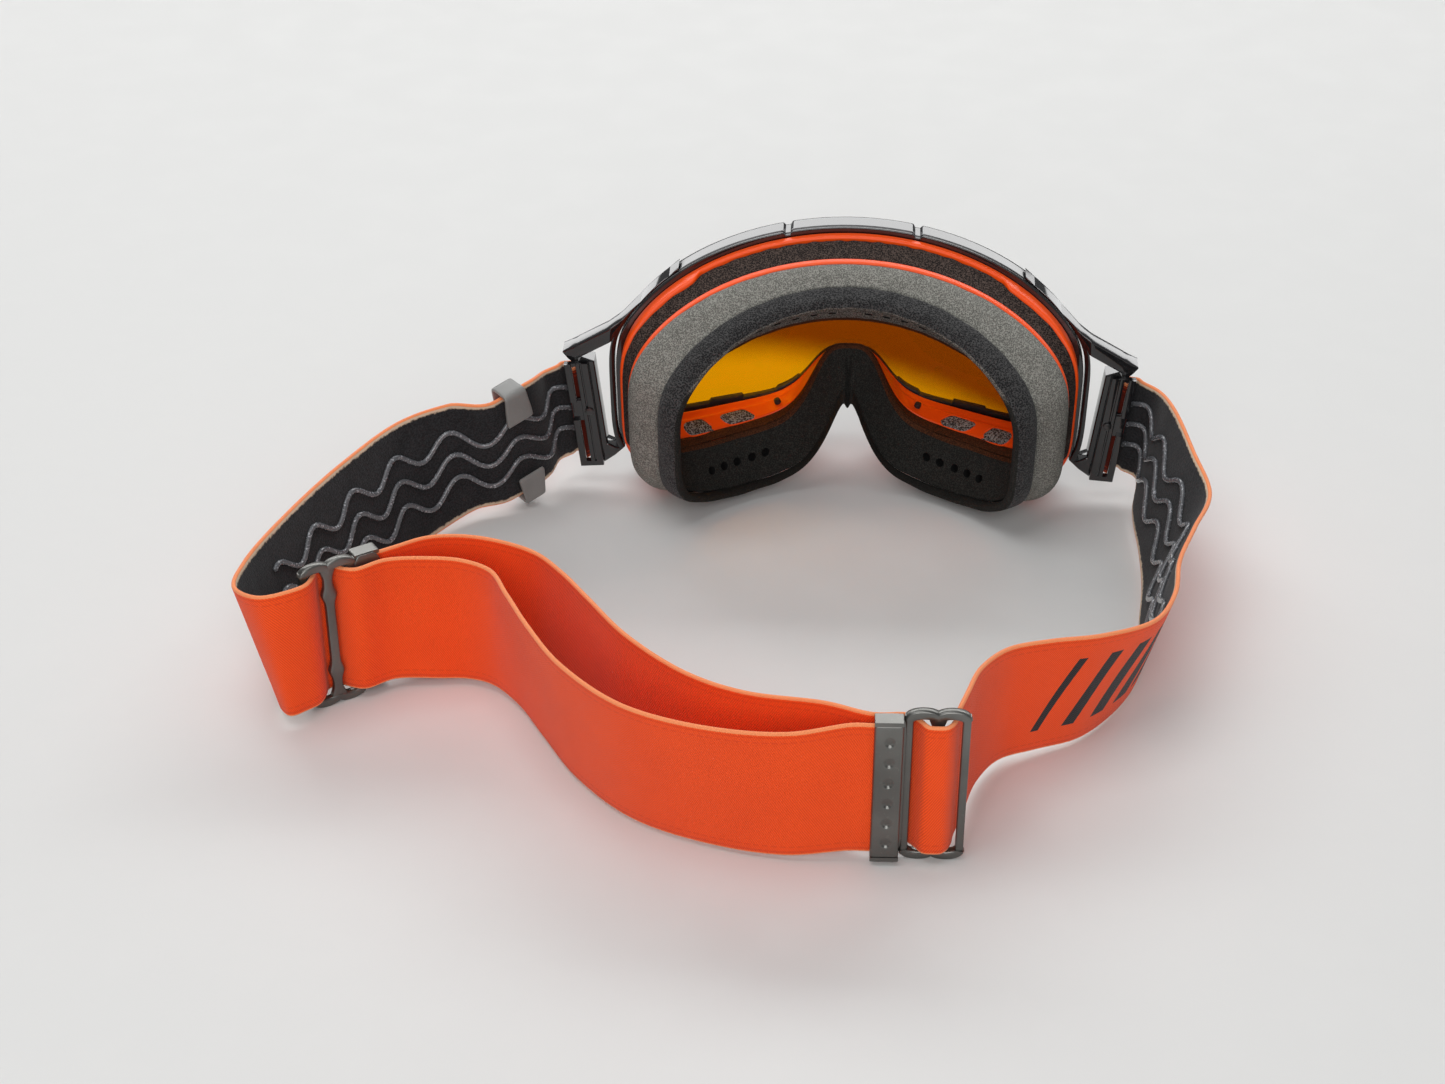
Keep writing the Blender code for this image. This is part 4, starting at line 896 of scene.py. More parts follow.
@dataclass
class FrontFrame:
    """The gloss black outer frame, the lens and the carrier behind it."""

    mask: Mask
    front: float = 0.0035
    rear: float = 0.0050
    bevel: float = 0.0015
    groove: float = 0.0003
    notch_x: float = 0.0225
    notch_half: float = 0.0013
    notch_depth: float = 0.0012
    lens_gap: float = 0.0010
    lens_thickness: float = 0.0016
    carrier_width: float = 0.0040
    carrier_depth: float = 0.0029
    carrier_tabs: tuple[tuple[float, float], ...] = ((0.0440, 0.0060), (0.0220, 0.0042))
    tab_rise: float = 0.0010

    def build(self) -> None:
        """Build the outer frame, the lens and the carrier."""
        self.outer_frame()
        self.lens()
        self.carrier()

    def outer_frame(self) -> None:
        """A wrapped band with a fine groove round its outer wall and two notches in the brow."""
        mask = self.mask
        outer, opening = mask.outer, mask.opening
        sunk = outer.inset(self.groove)
        rows = np.array([
            mask.lip.at(-self.rear), outer.at(-self.rear), outer.at(-0.0042), sunk.at(-0.0040),
            sunk.at(-0.0037), outer.at(-0.0035), outer.at(self.front - self.bevel),
            outer.inset(self.bevel).at(self.front), opening.inset(-self.bevel / 2).at(self.front),
            opening.at(self.front - self.bevel), opening.at(-self.rear),
        ])
        rows = densify(soften(rows, 0.0004, 4), 0.0006)
        ring = mask.ring(rows)
        off = np.abs(np.abs(ring[..., 0]) - self.notch_x)
        cut = (1 - smoothstep(off, self.notch_half - 0.0003, self.notch_half + 0.0003)) * self.notch_depth
        ring[..., 2] -= cut * mask.upper[None] * (rows[:, 1] > 0.0480)[:, None]
        skin = Skin().grid(mask.stand(ring), True, True)
        settle(skin.piece("outer_frame_shell", (GLOSS_BLACK,)), ROOT, ("outer_frame",))

    def lens(self) -> None:
        """A sheet between the lower and upper outline, wrapped with the frame, then thickened."""
        mask = self.mask
        outline = mask.opening.inset(self.lens_gap)
        share = np.sin(np.linspace(-math.pi / 2, math.pi / 2, 181))
        row = np.array([outline.at(-self.lens_thickness / 2)])
        high = mask.flat(row, share, np.ones(len(share), bool))[0]
        low = mask.flat(row, share, np.zeros(len(share), bool))[0]
        rise = np.linspace(0.0, 1.0, 25)[:, None]
        z = low[None, :, 1] * (1 - rise) + high[None, :, 1] * rise
        x = np.broadcast_to(high[None, :, 0], z.shape)
        y = -self.lens_thickness / 2 - np.broadcast_to(mask.wrap(share)[None], z.shape)
        sheet = Skin().grid(mask.stand(np.stack((x, y, z), axis=2)))
        piece = sheet.piece("lens_sheet", (AMBER,))
        wall = piece.modifiers.new("wall", "SOLIDIFY")
        wall.thickness, wall.offset = self.lens_thickness, 0.0
        settle(piece, "lens_set", ("lens",))

    def carrier(self) -> None:
        """A slim ring behind the lens's edge."""
        mask = self.mask
        seat = mask.opening.inset(self.lens_gap)
        bore = replace(seat.inset(self.carrier_width, bottom=0.0032), cheek_power=2.1)
        start = -self.lens_thickness - GAP
        end = start - self.carrier_depth
        rows = soften(np.array([seat.at(end), seat.at(start), bore.at(start), bore.at(end)]), 0.0006, 4)
        ring = mask.ring(rows)
        inward = (seat.half_width - rows[:, :1]) / self.carrier_width
        for middle, half in self.carrier_tabs:
            off = np.abs(np.abs(ring[..., 0]) - middle)
            ring[..., 2] += inward * (1 - smoothstep(off, half - 0.0005, half)) * self.tab_rise * ~mask.upper
        skin = Skin().grid(mask.stand(ring), True, True)
        settle(skin.piece("lens_carrier_ring", (SOFT_BLACK,)), "lens_set", ("lens_carrier",))


@dataclass
class InnerFrame:
    """The orange inner frame, its vent foam, its floor pads and pins, and the brown lining."""

    mask: Mask
    channel_depth: float = 0.0050
    ledge: float = 0.0005
    foam_recess: float = 0.0008
    foam_end: float = -0.0170
    pad_size: tuple[float, float] = (0.0126, 0.0060)
    pad_places: tuple[tuple[str, float], ...] = (("inner", 0.62), ("outer", 0.84))
    pad_depth_share: float = 0.52
    pad_slant: float = 0.0022
    pin_place: float = 0.39
    pin_depth_share: float = 0.45

    def build(self) -> None:
        """Build the frame and what sits in it."""
        self.shell()
        self.vent_foam()
        self.lining()
        for side in Side:
            for name, share in self.pad_places:
                self.pad(side, name, share)
            self.pin(side)

    def shell(self) -> None:
        """A ring with a lip, a channel for the foam, a rounded rim and a floor with a low ledge."""
        mask = self.mask
        lip, flange = mask.lip, mask.flange
        bore = mask.opening.inset(0.0050)
        rows = np.array([
            lip.at(mask.frame_back), lip.at(mask.channel_start, 1.0),
            lip.inset(self.channel_depth).at(mask.channel_start, 1.0),
            flange.inset(self.channel_depth).at(mask.flange_start), flange.at(mask.flange_start),
            flange.at(mask.flange_back), mask.floor_row(1.0), mask.floor_row(0.72),
            mask.floor_row(0.70, self.ledge), mask.floor_row(0.26, self.ledge), mask.floor_row(0.22),
            mask.floor_row(0.0), bore.at(mask.frame_back), mask.opening.at(mask.frame_back),
        ])
        skin = Skin().grid(mask.stand(mask.ring(densify(soften(rows, 0.0009, 5), 0.0012))), True, True)
        settle(skin.piece("inner_frame_shell", (ORANGE_SHELL,)), ROOT, ("inner_frame",))

    def vent_foam(self) -> None:
        """A strip of foam in the channel, over the brow and down both sides, a little uneven."""
        mask = self.mask
        lip, flange = mask.lip, mask.flange
        seat = self.channel_depth - GAP
        front, back = mask.channel_start - GAP, mask.flange_start + GAP
        rows = np.array([
            lip.inset(self.foam_recess).at(front, 1.0), flange.inset(self.foam_recess).at(back),
            flange.inset(seat).at(back), lip.inset(seat).at(front, 1.0),
        ])
        ring = mask.ring(densify(soften(rows, 0.0008, 4), 0.0006))
        turn = np.arctan2(ring[..., 0], ring[..., 2])
        swell = 0.00012 * (np.sin(41 * turn) + np.sin(67 * turn + 1.3))
        ring[..., 2] += swell
        half = mask.half_columns
        level = mask.ring(np.array([lip.at(0.0)]))[0, :half, 2]
        reach = int(np.argmax((mask.share[:half] > 0.5) & (level < self.foam_end)))
        order = np.arange(-reach, reach + 1)
        strip = np.swapaxes(mask.stand(ring[:, order]), 0, 1)
        settle(Skin().tube(strip).piece("vent_foam_strip", (VENT_FOAM,), 70.0), ROOT, ("vent_foam_top",))

    def lining(self) -> None:
        """A thin strip over the rear of the tunnel's floor, from cheek to cheek over the nose."""
        mask = self.mask
        rows = np.array([mask.floor_row(0.73, 0.0001), mask.floor_row(0.75, 0.0005),
                         mask.floor_row(1.012, 0.0005), mask.floor_row(1.012, -0.0006)])
        ring = mask.ring(soften(rows, 0.0003, 3))
        order = np.nonzero(~mask.upper & (np.abs(mask.share) < 0.985))[0]
        strip = np.swapaxes(mask.stand(ring[:, order]), 0, 1)
        settle(Skin().tube(strip).piece("tunnel_lining", (BROWN_LINING,), 60.0), ROOT, ())

    def floor(self, share: float, depth_share: float) -> tuple[Points, Points, Points]:
        """A place on the tunnel's floor.

        Args:
            share: signed share of the tunnel's half width.
            depth_share: share of the way from the frame's back to the flange's back.

        Returns:
            The point and the unit vectors along and across the floor, in the part's frame.
        """
        mask = self.mask
        rows = np.array([mask.floor_row(depth_share), mask.floor_row(depth_share + 0.01)])
        places = np.array([share, share + 0.01])
        flat = mask.flat(rows, places, np.zeros(2, bool))
        y = rows[:, 4:5] - mask.wrap(places)[None]
        spots = np.stack((flat[..., 0], y, flat[..., 1]), axis=2)
        along = unit(spots[0, 1] - spots[0, 0])
        up = unit(np.cross(along, spots[0, 0] - spots[1, 0]))
        return mask.stand(spots[0, 0]), mask.turn(along), mask.turn(np.cross(up, along))

    def pad(self, side: Side, name: str, share: float) -> None:
        """A foam pad in an orange bezel, both domed lozenges on the floor.

        Args:
            side: the hand it is on.
            name: inner or outer.
            share: its share of the tunnel's half width.
        """
        place, along, across = self.floor(side.value * share, self.pad_depth_share)
        long = along * self.pad_size[0] / 2
        wide = across * self.pad_size[1] / 2 + along * side.value * self.pad_slant
        rows = np.array([(0.0, -0.0018), (0.97, -0.0018), (1.0, -0.0008), (0.98, 0.0006), (0.86, 0.0009),
                         (0.5, 0.0010), (0.0, 0.0010)])
        skin = Skin().grid(lozenge(place, long, wide, rows, 9.0, 48), wrap_cols=True)
        settle(skin.piece(f"vent_pad_{side.hand}_{name}_foam", (PAD_FOAM,), 60.0), ROOT,
               (f"vent_pad_{side.hand}_{name}",))
        loop = lozenge(place, long * 1.04, wide * 1.06, np.array([(1.0, 0.0)]), 9.0, 64)[0]
        path = np.concatenate((loop, loop[:2]))
        up = unit(np.cross(along, across))
        bezel = sweep(path, up, 0.0009, 0.00035, round_profile(10, 3.0))[1:-1]
        settle(Skin().grid(bezel, True, True).piece(f"vent_bezel_{side.hand}_{name}", (ORANGE_SHELL,)),
               ROOT, ())

    def pin(self, side: Side) -> None:
        """A small domed pin beside the nose.

        Args:
            side: the hand it is on.
        """
        place, along, across = self.floor(side.value * self.pin_place, self.pin_depth_share)
        rows = np.array([(0.0, 0.0003), (1.0, 0.0003), (1.0, 0.0017), (0.9, 0.0021), (0.6, 0.0023), (0.0, 0.0023)])
        skin = Skin().grid(lozenge(place, along * 0.0012, across * 0.0012, rows), wrap_cols=True)
        settle(skin.piece(f"frame_pin_{side.hand}_head", (SOFT_BLACK,)), ROOT, (f"frame_pin_{side.hand}",))


@dataclass
class FaceFoam:
    """The grey base layer and the charcoal fleece layer, with their air holes."""

    mask: Mask
    base_start: float = -0.0216
    base_back: float = -0.0316
    fleece_back: float = -0.0399
    bulge: float = 0.0012
    wall_width: float = 0.0642
    brow_swell: float = 0.0108
    cheek_swell: float = 0.0005
    brown_edge: float = 0.0013
    hole_radius: float = 0.0015
    hole_depth: float = 0.0030
    cheek_holes: tuple[tuple[float, float], ...] = (
        (0.470, 0.52), (0.548, 0.53), (0.632, 0.54), (0.705, 0.56), (0.775, 0.59))
    brow_slits: tuple[float, ...] = (0.10, 0.20, 0.30, 0.40, 0.50)
    slit_depth: float = 0.27

    def build(self) -> None:
        """Build both layers."""
        mask = self.mask
        flange, edge, crown = mask.flange, mask.foam_edge, mask.crown
        bore = mask.bore
        middle = (self.base_start + self.base_back) / 2
        base_rows = np.array([
            flange.at(self.base_start), flange.inset(0.0006, -0.0004, 0.0004).at(middle + 0.002),
            flange.inset(0.0031, 0.0002, 0.0012).at(middle - 0.001), edge.at(self.base_back),
            bore.inset(-0.0004).at(self.base_back), bore.at(self.base_back + 0.0004),
            self.inlet().at(self.base_start),
        ])
        base = self.layer("face_foam_base_layer", base_rows, 0.0012, (GREY_FOAM, SHADED_FOAM_WALL, BROWN_LINING))
        self.pierce(base)
        settle(base, ROOT, ("face_foam_base",))
        start = self.base_back - GAP
        deep = start - self.fleece_back
        fleece_rows = np.array([
            edge.at(start), edge.inset(self.bulge / 2).at(start - deep * 0.45, 0.0, 0.0012),
            edge.inset(0.0037, 0.0015, 0.0017).at(start - deep * 0.85, 0.0, 0.0022),
            crown.at(self.fleece_back), crown.inset(self.bulge, bottom=-0.0004).at(start - deep * 0.45),
            bore.at(start - 0.0004), bore.inset(-0.0004).at(start),
        ])
        fleece = self.layer("face_foam_fleece_layer", fleece_rows, 0.0022, (FLEECE, SHADED_FOAM_WALL))
        settle(fleece, ROOT, ("face_foam_fleece",))

    def inlet(self) -> Outline:
        """The front edge of the base layer's wall, swollen past the frame at the cheeks and the brow."""
        return self.mask.tunnel.inset(0.0, self.brow_swell, self.cheek_swell)

    def layer(self, name: str, rows: Points, radius: float, finishes: tuple[Finish, ...]) -> bpy.types.Object:
        """A soft ring with rounded corners, gently uneven, with a seam pressed in at the nose.

        Args:
            name: the piece's name.
            rows: the outline rows.
            radius: how far its corners are rounded.
            finishes: the outside's finish, the inner wall's painted-shade finish and that of the wall's front edge.

        Returns:
            The piece.
        """
        mask = self.mask
        rows = densify(soften(rows, radius, 6), 0.0009)
        ring = mask.ring(rows)
        turn = np.arctan2(ring[..., 0], ring[..., 2] + 0.0001)
        uneven = 0.00011 * (np.sin(23 * turn + 0.4) + np.sin(37 * turn + 2.1))
        seam = np.exp(-(ring[..., 0] / 0.0009) ** 2) * ~mask.upper[None] * 0.0034
        ring[..., 1] += uneven * smoothstep(-ring[..., 1], -self.base_start, 0.03)
        ring[..., 2] -= seam * smoothstep(-rows[:, 4:5], 0.0228, 0.0262)
        after = np.roll(rows, -1, axis=0)
        wall = (np.minimum(rows[:, 0], after[:, 0]) < self.wall_width) & (rows[:, 4] < after[:, 4] - 1e-6)
        brown = wall & (rows[:, 4] > self.base_start - self.brown_edge)
        grid = np.swapaxes(mask.stand(ring), 0, 1)
        return Skin().grid(grid, True, True, slots=wall.astype(int) + brown).piece(name, finishes, 75.0)

    def pierce(self, piece: bpy.types.Object) -> None:
        """Cut the air holes: five round ones in each cheek and short slits along the brow.

        Args:
            piece: the base layer.
        """
        skin = Skin()
        rows = np.array([(0.0, -1.0), (1.0, -1.0), (1.0, 1.0), (0.0, 1.0)]) * (1.0, self.hole_depth)
        for side in Side:
            for share, depth in self.cheek_holes:
                place, along, across = self.wall_place(side.value * share, depth, False)
                skin.grid(lozenge(place, along * self.hole_radius, across * self.hole_radius, rows, 2.0, 20),
                          wrap_cols=True)
            for share in self.brow_slits:
                place, along, across = self.wall_place(side.value * share, self.slit_depth, True)
                skin.grid(lozenge(place, along * 0.0013, across * 0.0005, rows, 4.0, 20), wrap_cols=True)
        cutter = skin.piece("air_hole_cutter", (SHADED_HOLE_WALL,))
        cut = piece.modifiers.new("air_holes", "BOOLEAN")
        cut.operation, cut.solver, cut.object = "DIFFERENCE", "EXACT", cutter
        # The cutter's near-black finish passes to the holes' walls as painted shade.
        cut.material_mode = "TRANSFER"
        bpy.context.view_layer.update()
        evaluated = piece.evaluated_get(bpy.context.evaluated_depsgraph_get())
        pierced = bpy.data.meshes.new_from_object(evaluated)
        piece.modifiers.clear()
        piece.data = pierced
        bpy.data.objects.remove(cutter, do_unlink=True)

    def wall_place(self, share: float, depth_share: float, upper: bool) -> tuple[Points, Points, Points]:
        """A place on the base layer's inner wall.

        Args:
            share: signed share of the half width.
            depth_share: share of the way from the wall's front to its rear.
            upper: whether it is on the brow.

        Returns:
            The point and the unit vectors along and across the wall, in the part's frame.
        """
        mask = self.mask
        front = np.array(self.inlet().at(self.base_start))
        rear = np.array(mask.bore.at(self.base_back))
        rows = np.array([front * (1 - part) + rear * part for part in (depth_share, depth_share + 0.02)])
        places = np.array([share, share + 0.01])
        flat = mask.flat(rows, places, np.full(2, upper))
        y = rows[:, 4:5] - mask.wrap(places)[None]
        spots = mask.stand(np.stack((flat[..., 0], y, flat[..., 1]), axis=2))
        return spots[0, 0], unit(spots[0, 1] - spots[0, 0]), unit(spots[1, 0] - spots[0, 0])


@dataclass
class Outrigger:
    """One outrigger with its strap anchor, the pin between them and the rod in the strap's fold."""

    mask: Mask
    side: Side
    thickness: float = 0.0060
    slope: float = 0.40
    arm_start_share: float = 0.64
    arm_rise: float = 0.0026
    arm_lead: float = 0.16
    arm_height: float = 0.0062
    rail_width: float = 0.0020
    tip_rise: float = 0.0225
    tip: float = 0.0016
    lean: float = math.radians(5.0)
    post_inner: float = 0.0040
    post_outer: float = 0.0018
    post_foot: float = 0.0225
    margin: float = 0.0028
    swivel_z: float = -0.0062
    anchor_thickness: float = 0.0022
    anchor_drop: float = 0.0020
    anchor_half_height: float = 0.0226

    def __post_init__(self) -> None:
        """Work out the pin's place."""
        self.swivel_x = self.mask.half_width + 0.0098
        self.swivel_y = float(self.depth(np.array([self.swivel_x]))[0]) - self.thickness / 2 - GAP

    def depth(self, reach: Points) -> Points:
        """Depth of the plate's middle: the mask's wrap, then a slope, then flat at the post."""
        mask = self.mask
        edge = mask.half_width * mask.wrap_share
        sloped = np.clip(reach, edge, self.mask.half_width + 0.0098 - 2 * self.post_inner) - edge
        return -mask.wrap(np.minimum(reach, edge) / edge) - self.slope * sloped

    def post(self, along: Points, up: Points) -> Points:
        """(x, z) beside the post: out from its pin and up along it."""
        c, s = math.cos(self.lean), math.sin(self.lean)
        along, up = np.broadcast_arrays(np.asarray(along, float), np.asarray(up, float))
        return np.stack((self.swivel_x + along * c + up * s, self.swivel_z - along * s + up * c), axis=-1)

    def bar(self, first: Points, second: Points, high: Points | float, low: Points | float, centre: Points
            ) -> Points:
        """A rounded bar ruled between two edges in (x, z), from a front to a rear depth.

        Args:
            first: one edge's points.
            second: the other edge's points.
            high: front depth past the centre depth.
            low: rear depth past the centre depth.
            centre: the centre depth of both edges, 2 by points.

        Returns:
            A grid of stations by profile points by 3, in the part's frame.
        """
        profile = round_profile(28, 9.0)
        share = (profile[:, 0] + 1) / 2
        lift = (profile[:, 1] + 1) / 2
        flat = first[:, None] * (1 - share)[None, :, None] + second[:, None] * share[None, :, None]
        middle = centre[0][:, None] * (1 - share)[None] + centre[1][:, None] * share[None]
        y = middle + low + (high - low) * lift[None]
        own = np.stack((flat[..., 0] * self.side.value, y, flat[..., 1]), axis=2)
        return self.mask.stand(own)

    def plate_bar(self, first: Points, second: Points) -> Points:
        """A bar of the outrigger's plate between two edges."""
        centre = np.stack((self.depth(first[:, 0]), self.depth(second[:, 0])))
        return self.bar(first, second, self.thickness / 2, -self.thickness / 2, centre)

    def build(self) -> None:
        """Build the outrigger, the anchor, the pin and the rod."""
        self.plate()
        self.anchor()
        self.pin_and_rod()

    def plate(self) -> None:
        """A straight arm that leaves the frame at the brow, a rail along the frame, a post and a foot."""
        mask, hand = self.mask, self.side.hand
        half = mask.half_columns + 1
        hug = np.array([mask.outer.inset(-0.0005).at(0.0)])
        edge = mask.flat(hug, mask.share[:half], mask.upper[:half])[0]
        foot = self.post(-self.post_inner, -self.post_foot)
        tip = self.post(self.post_outer, self.tip_rise)
        brow = edge[(edge[:, 0] > self.arm_start_share * mask.half_width) & (edge[:, 1] > foot[1] + self.margin)]
        start, end = brow[0] + (0.0, self.arm_rise), tip + (3 * self.tip, self.tip)
        t = np.linspace(self.arm_lead, 1.0, 60)[:, None]
        outer = start * (1 - t) + end * t
        top = mask.upper[:half]
        hugged = np.interp(outer[:, 0], edge[top, 0], edge[top, 1], right=-1.0)
        low = np.maximum(hugged, outer[:, 1] - self.arm_height)
        neck = self.post(self.post_outer, self.tip_rise - 2 * self.margin)
        chin = tip + (2 * self.tip, -self.margin / 2)
        under = np.interp(outer[:, 0], (neck[0], chin[0], end[0]), (neck[1], chin[1], end[1] - 0.0004))
        low = np.where(outer[:, 0] > neck[0], under, low)
        skin = Skin().tube(self.plate_bar(np.stack((outer[:, 0], low), axis=1), outer))
        line = start[1] + (end[1] - start[1]) * (brow[:, 0] - start[0]) / (end[0] - start[0])
        rail = brow[brow[:, 1] < line - self.arm_height / 2]
        skin.tube(self.plate_bar(rail, rail + (self.rail_width, 0.0)))
        up = np.linspace(-self.post_foot, self.tip_rise - self.margin, 24)
        skin.tube(self.plate_bar(self.post(-self.post_inner, up), self.post(self.post_outer, up)))
        bend = np.stack((rail[-1], self.post(-self.post_inner / 2, -self.post_foot - self.margin),
                         self.post(self.post_outer, -self.post_foot)))
        rim = np.stack((rail[-1] + (self.rail_width, 0.0), self.post(-self.post_inner, -self.post_foot + 2 * self.margin),
                        self.post(self.post_outer, -self.post_foot + 2 * self.margin)))
        t = np.linspace(0.0, 2.0, 25)
        below, above = (np.stack([np.interp(t, range(3), side[:, k]) for k in range(2)], axis=1)
                        for side in (bend, rim))
        skin.tube(self.plate_bar(below, above))
        settle(skin.piece(f"outrigger_{hand}_plate", (GLOSS_BLACK,), 30.0), ROOT, (f"outrigger_{hand}",))

    def anchor(self) -> None:
        """A plate with a grooved face, end webs and a split outer lip that holds the strap's end."""
        hand = self.side.hand
        high = self.anchor_half_height - self.anchor_drop
        low = -self.anchor_half_height - self.anchor_drop
        bars = [
            (-0.0020, 0.0004, low, high, 0.0), (0.0009, 0.0024, low, high, 0.0),
            (-0.0016, 0.0020, low + 0.0004, high - 0.0004, 0.0005), (-0.0018, 0.0064, high - 0.0014, high, 0.0006),
            (-0.0018, 0.0064, low, low + 0.0020, 0.0), (0.0040, 0.0064, 0.0040, high, 0.0),
            (0.0040, 0.0064, low, -0.0040, 0.0), (0.0018, 0.0056, -0.0006, 0.0046, 0.0003),
            (0.0018, 0.0062, -0.0048, 0.0048, 0.0013),
        ]
        skin = Skin()
        for near, far, foot, head, sunk in bars:
            up = np.linspace(foot, head, 12)
            centre = np.full((2, len(up)), self.swivel_y)
            skin.tube(self.bar(self.post(near, up), self.post(far, up), 0.0, -self.anchor_thickness + sunk, centre))
        settle(skin.piece(f"strap_anchor_{hand}_plate", (GLOSS_BLACK,), 30.0), f"{hand}_anchor",
               (f"strap_anchor_{hand}",))

    def own(self, along: float, depth: float, up: float) -> Points:
        """A point beside the pin, in the part's frame."""
        x, z = self.post(along, up)
        return self.mask.stand(np.array([x * self.side.value, self.swivel_y + depth, z]))

    def pin_and_rod(self) -> None:
        """The pin with its domed head, and the rod inside the strap's fold."""
        hand = self.side.hand
        back = self.mask.turn((0.0, -1.0, 0.0))
        right = self.mask.turn((0.0012, 0.0, 0.0))
        lift = np.cross(back, right)
        rows = np.array([(0.0, -0.0060), (1.0, -0.0060), (1.0, 0.0022), (1.25, 0.00225), (1.2, 0.0027),
                         (0.7, 0.0030), (0.0, 0.0030)])
        skin = Skin().grid(lozenge(self.own(0.0, 0.0, 0.0), right, lift, rows), wrap_cols=True)
        settle(skin.piece(f"anchor_pin_{hand}_head", (STEEL,)), ROOT, (f"anchor_pin_{hand}",))
        fold = 0.0012 + GAP + 0.0009
        centre = self.post_outer + 2 * GAP + fold + 0.0009
        deep = fold + 0.0009 + 2 * GAP
        ends = [self.own(centre, deep, -0.0040 + reach) for reach in (-0.020, 0.020)]
        t = np.linspace(0.0, 1.0, 12)[:, None]
        path = ends[0] * (1 - t) + ends[1] * t
        rod = sweep(path, (1.0, 0.0, 0.0), 0.0012, 0.0012, round_profile(16))
        settle(Skin().tube(rod).piece(f"strap_rod_{hand}_bar", (STEEL,)), f"{hand}_anchor",
               (f"strap_rod_{hand}",))


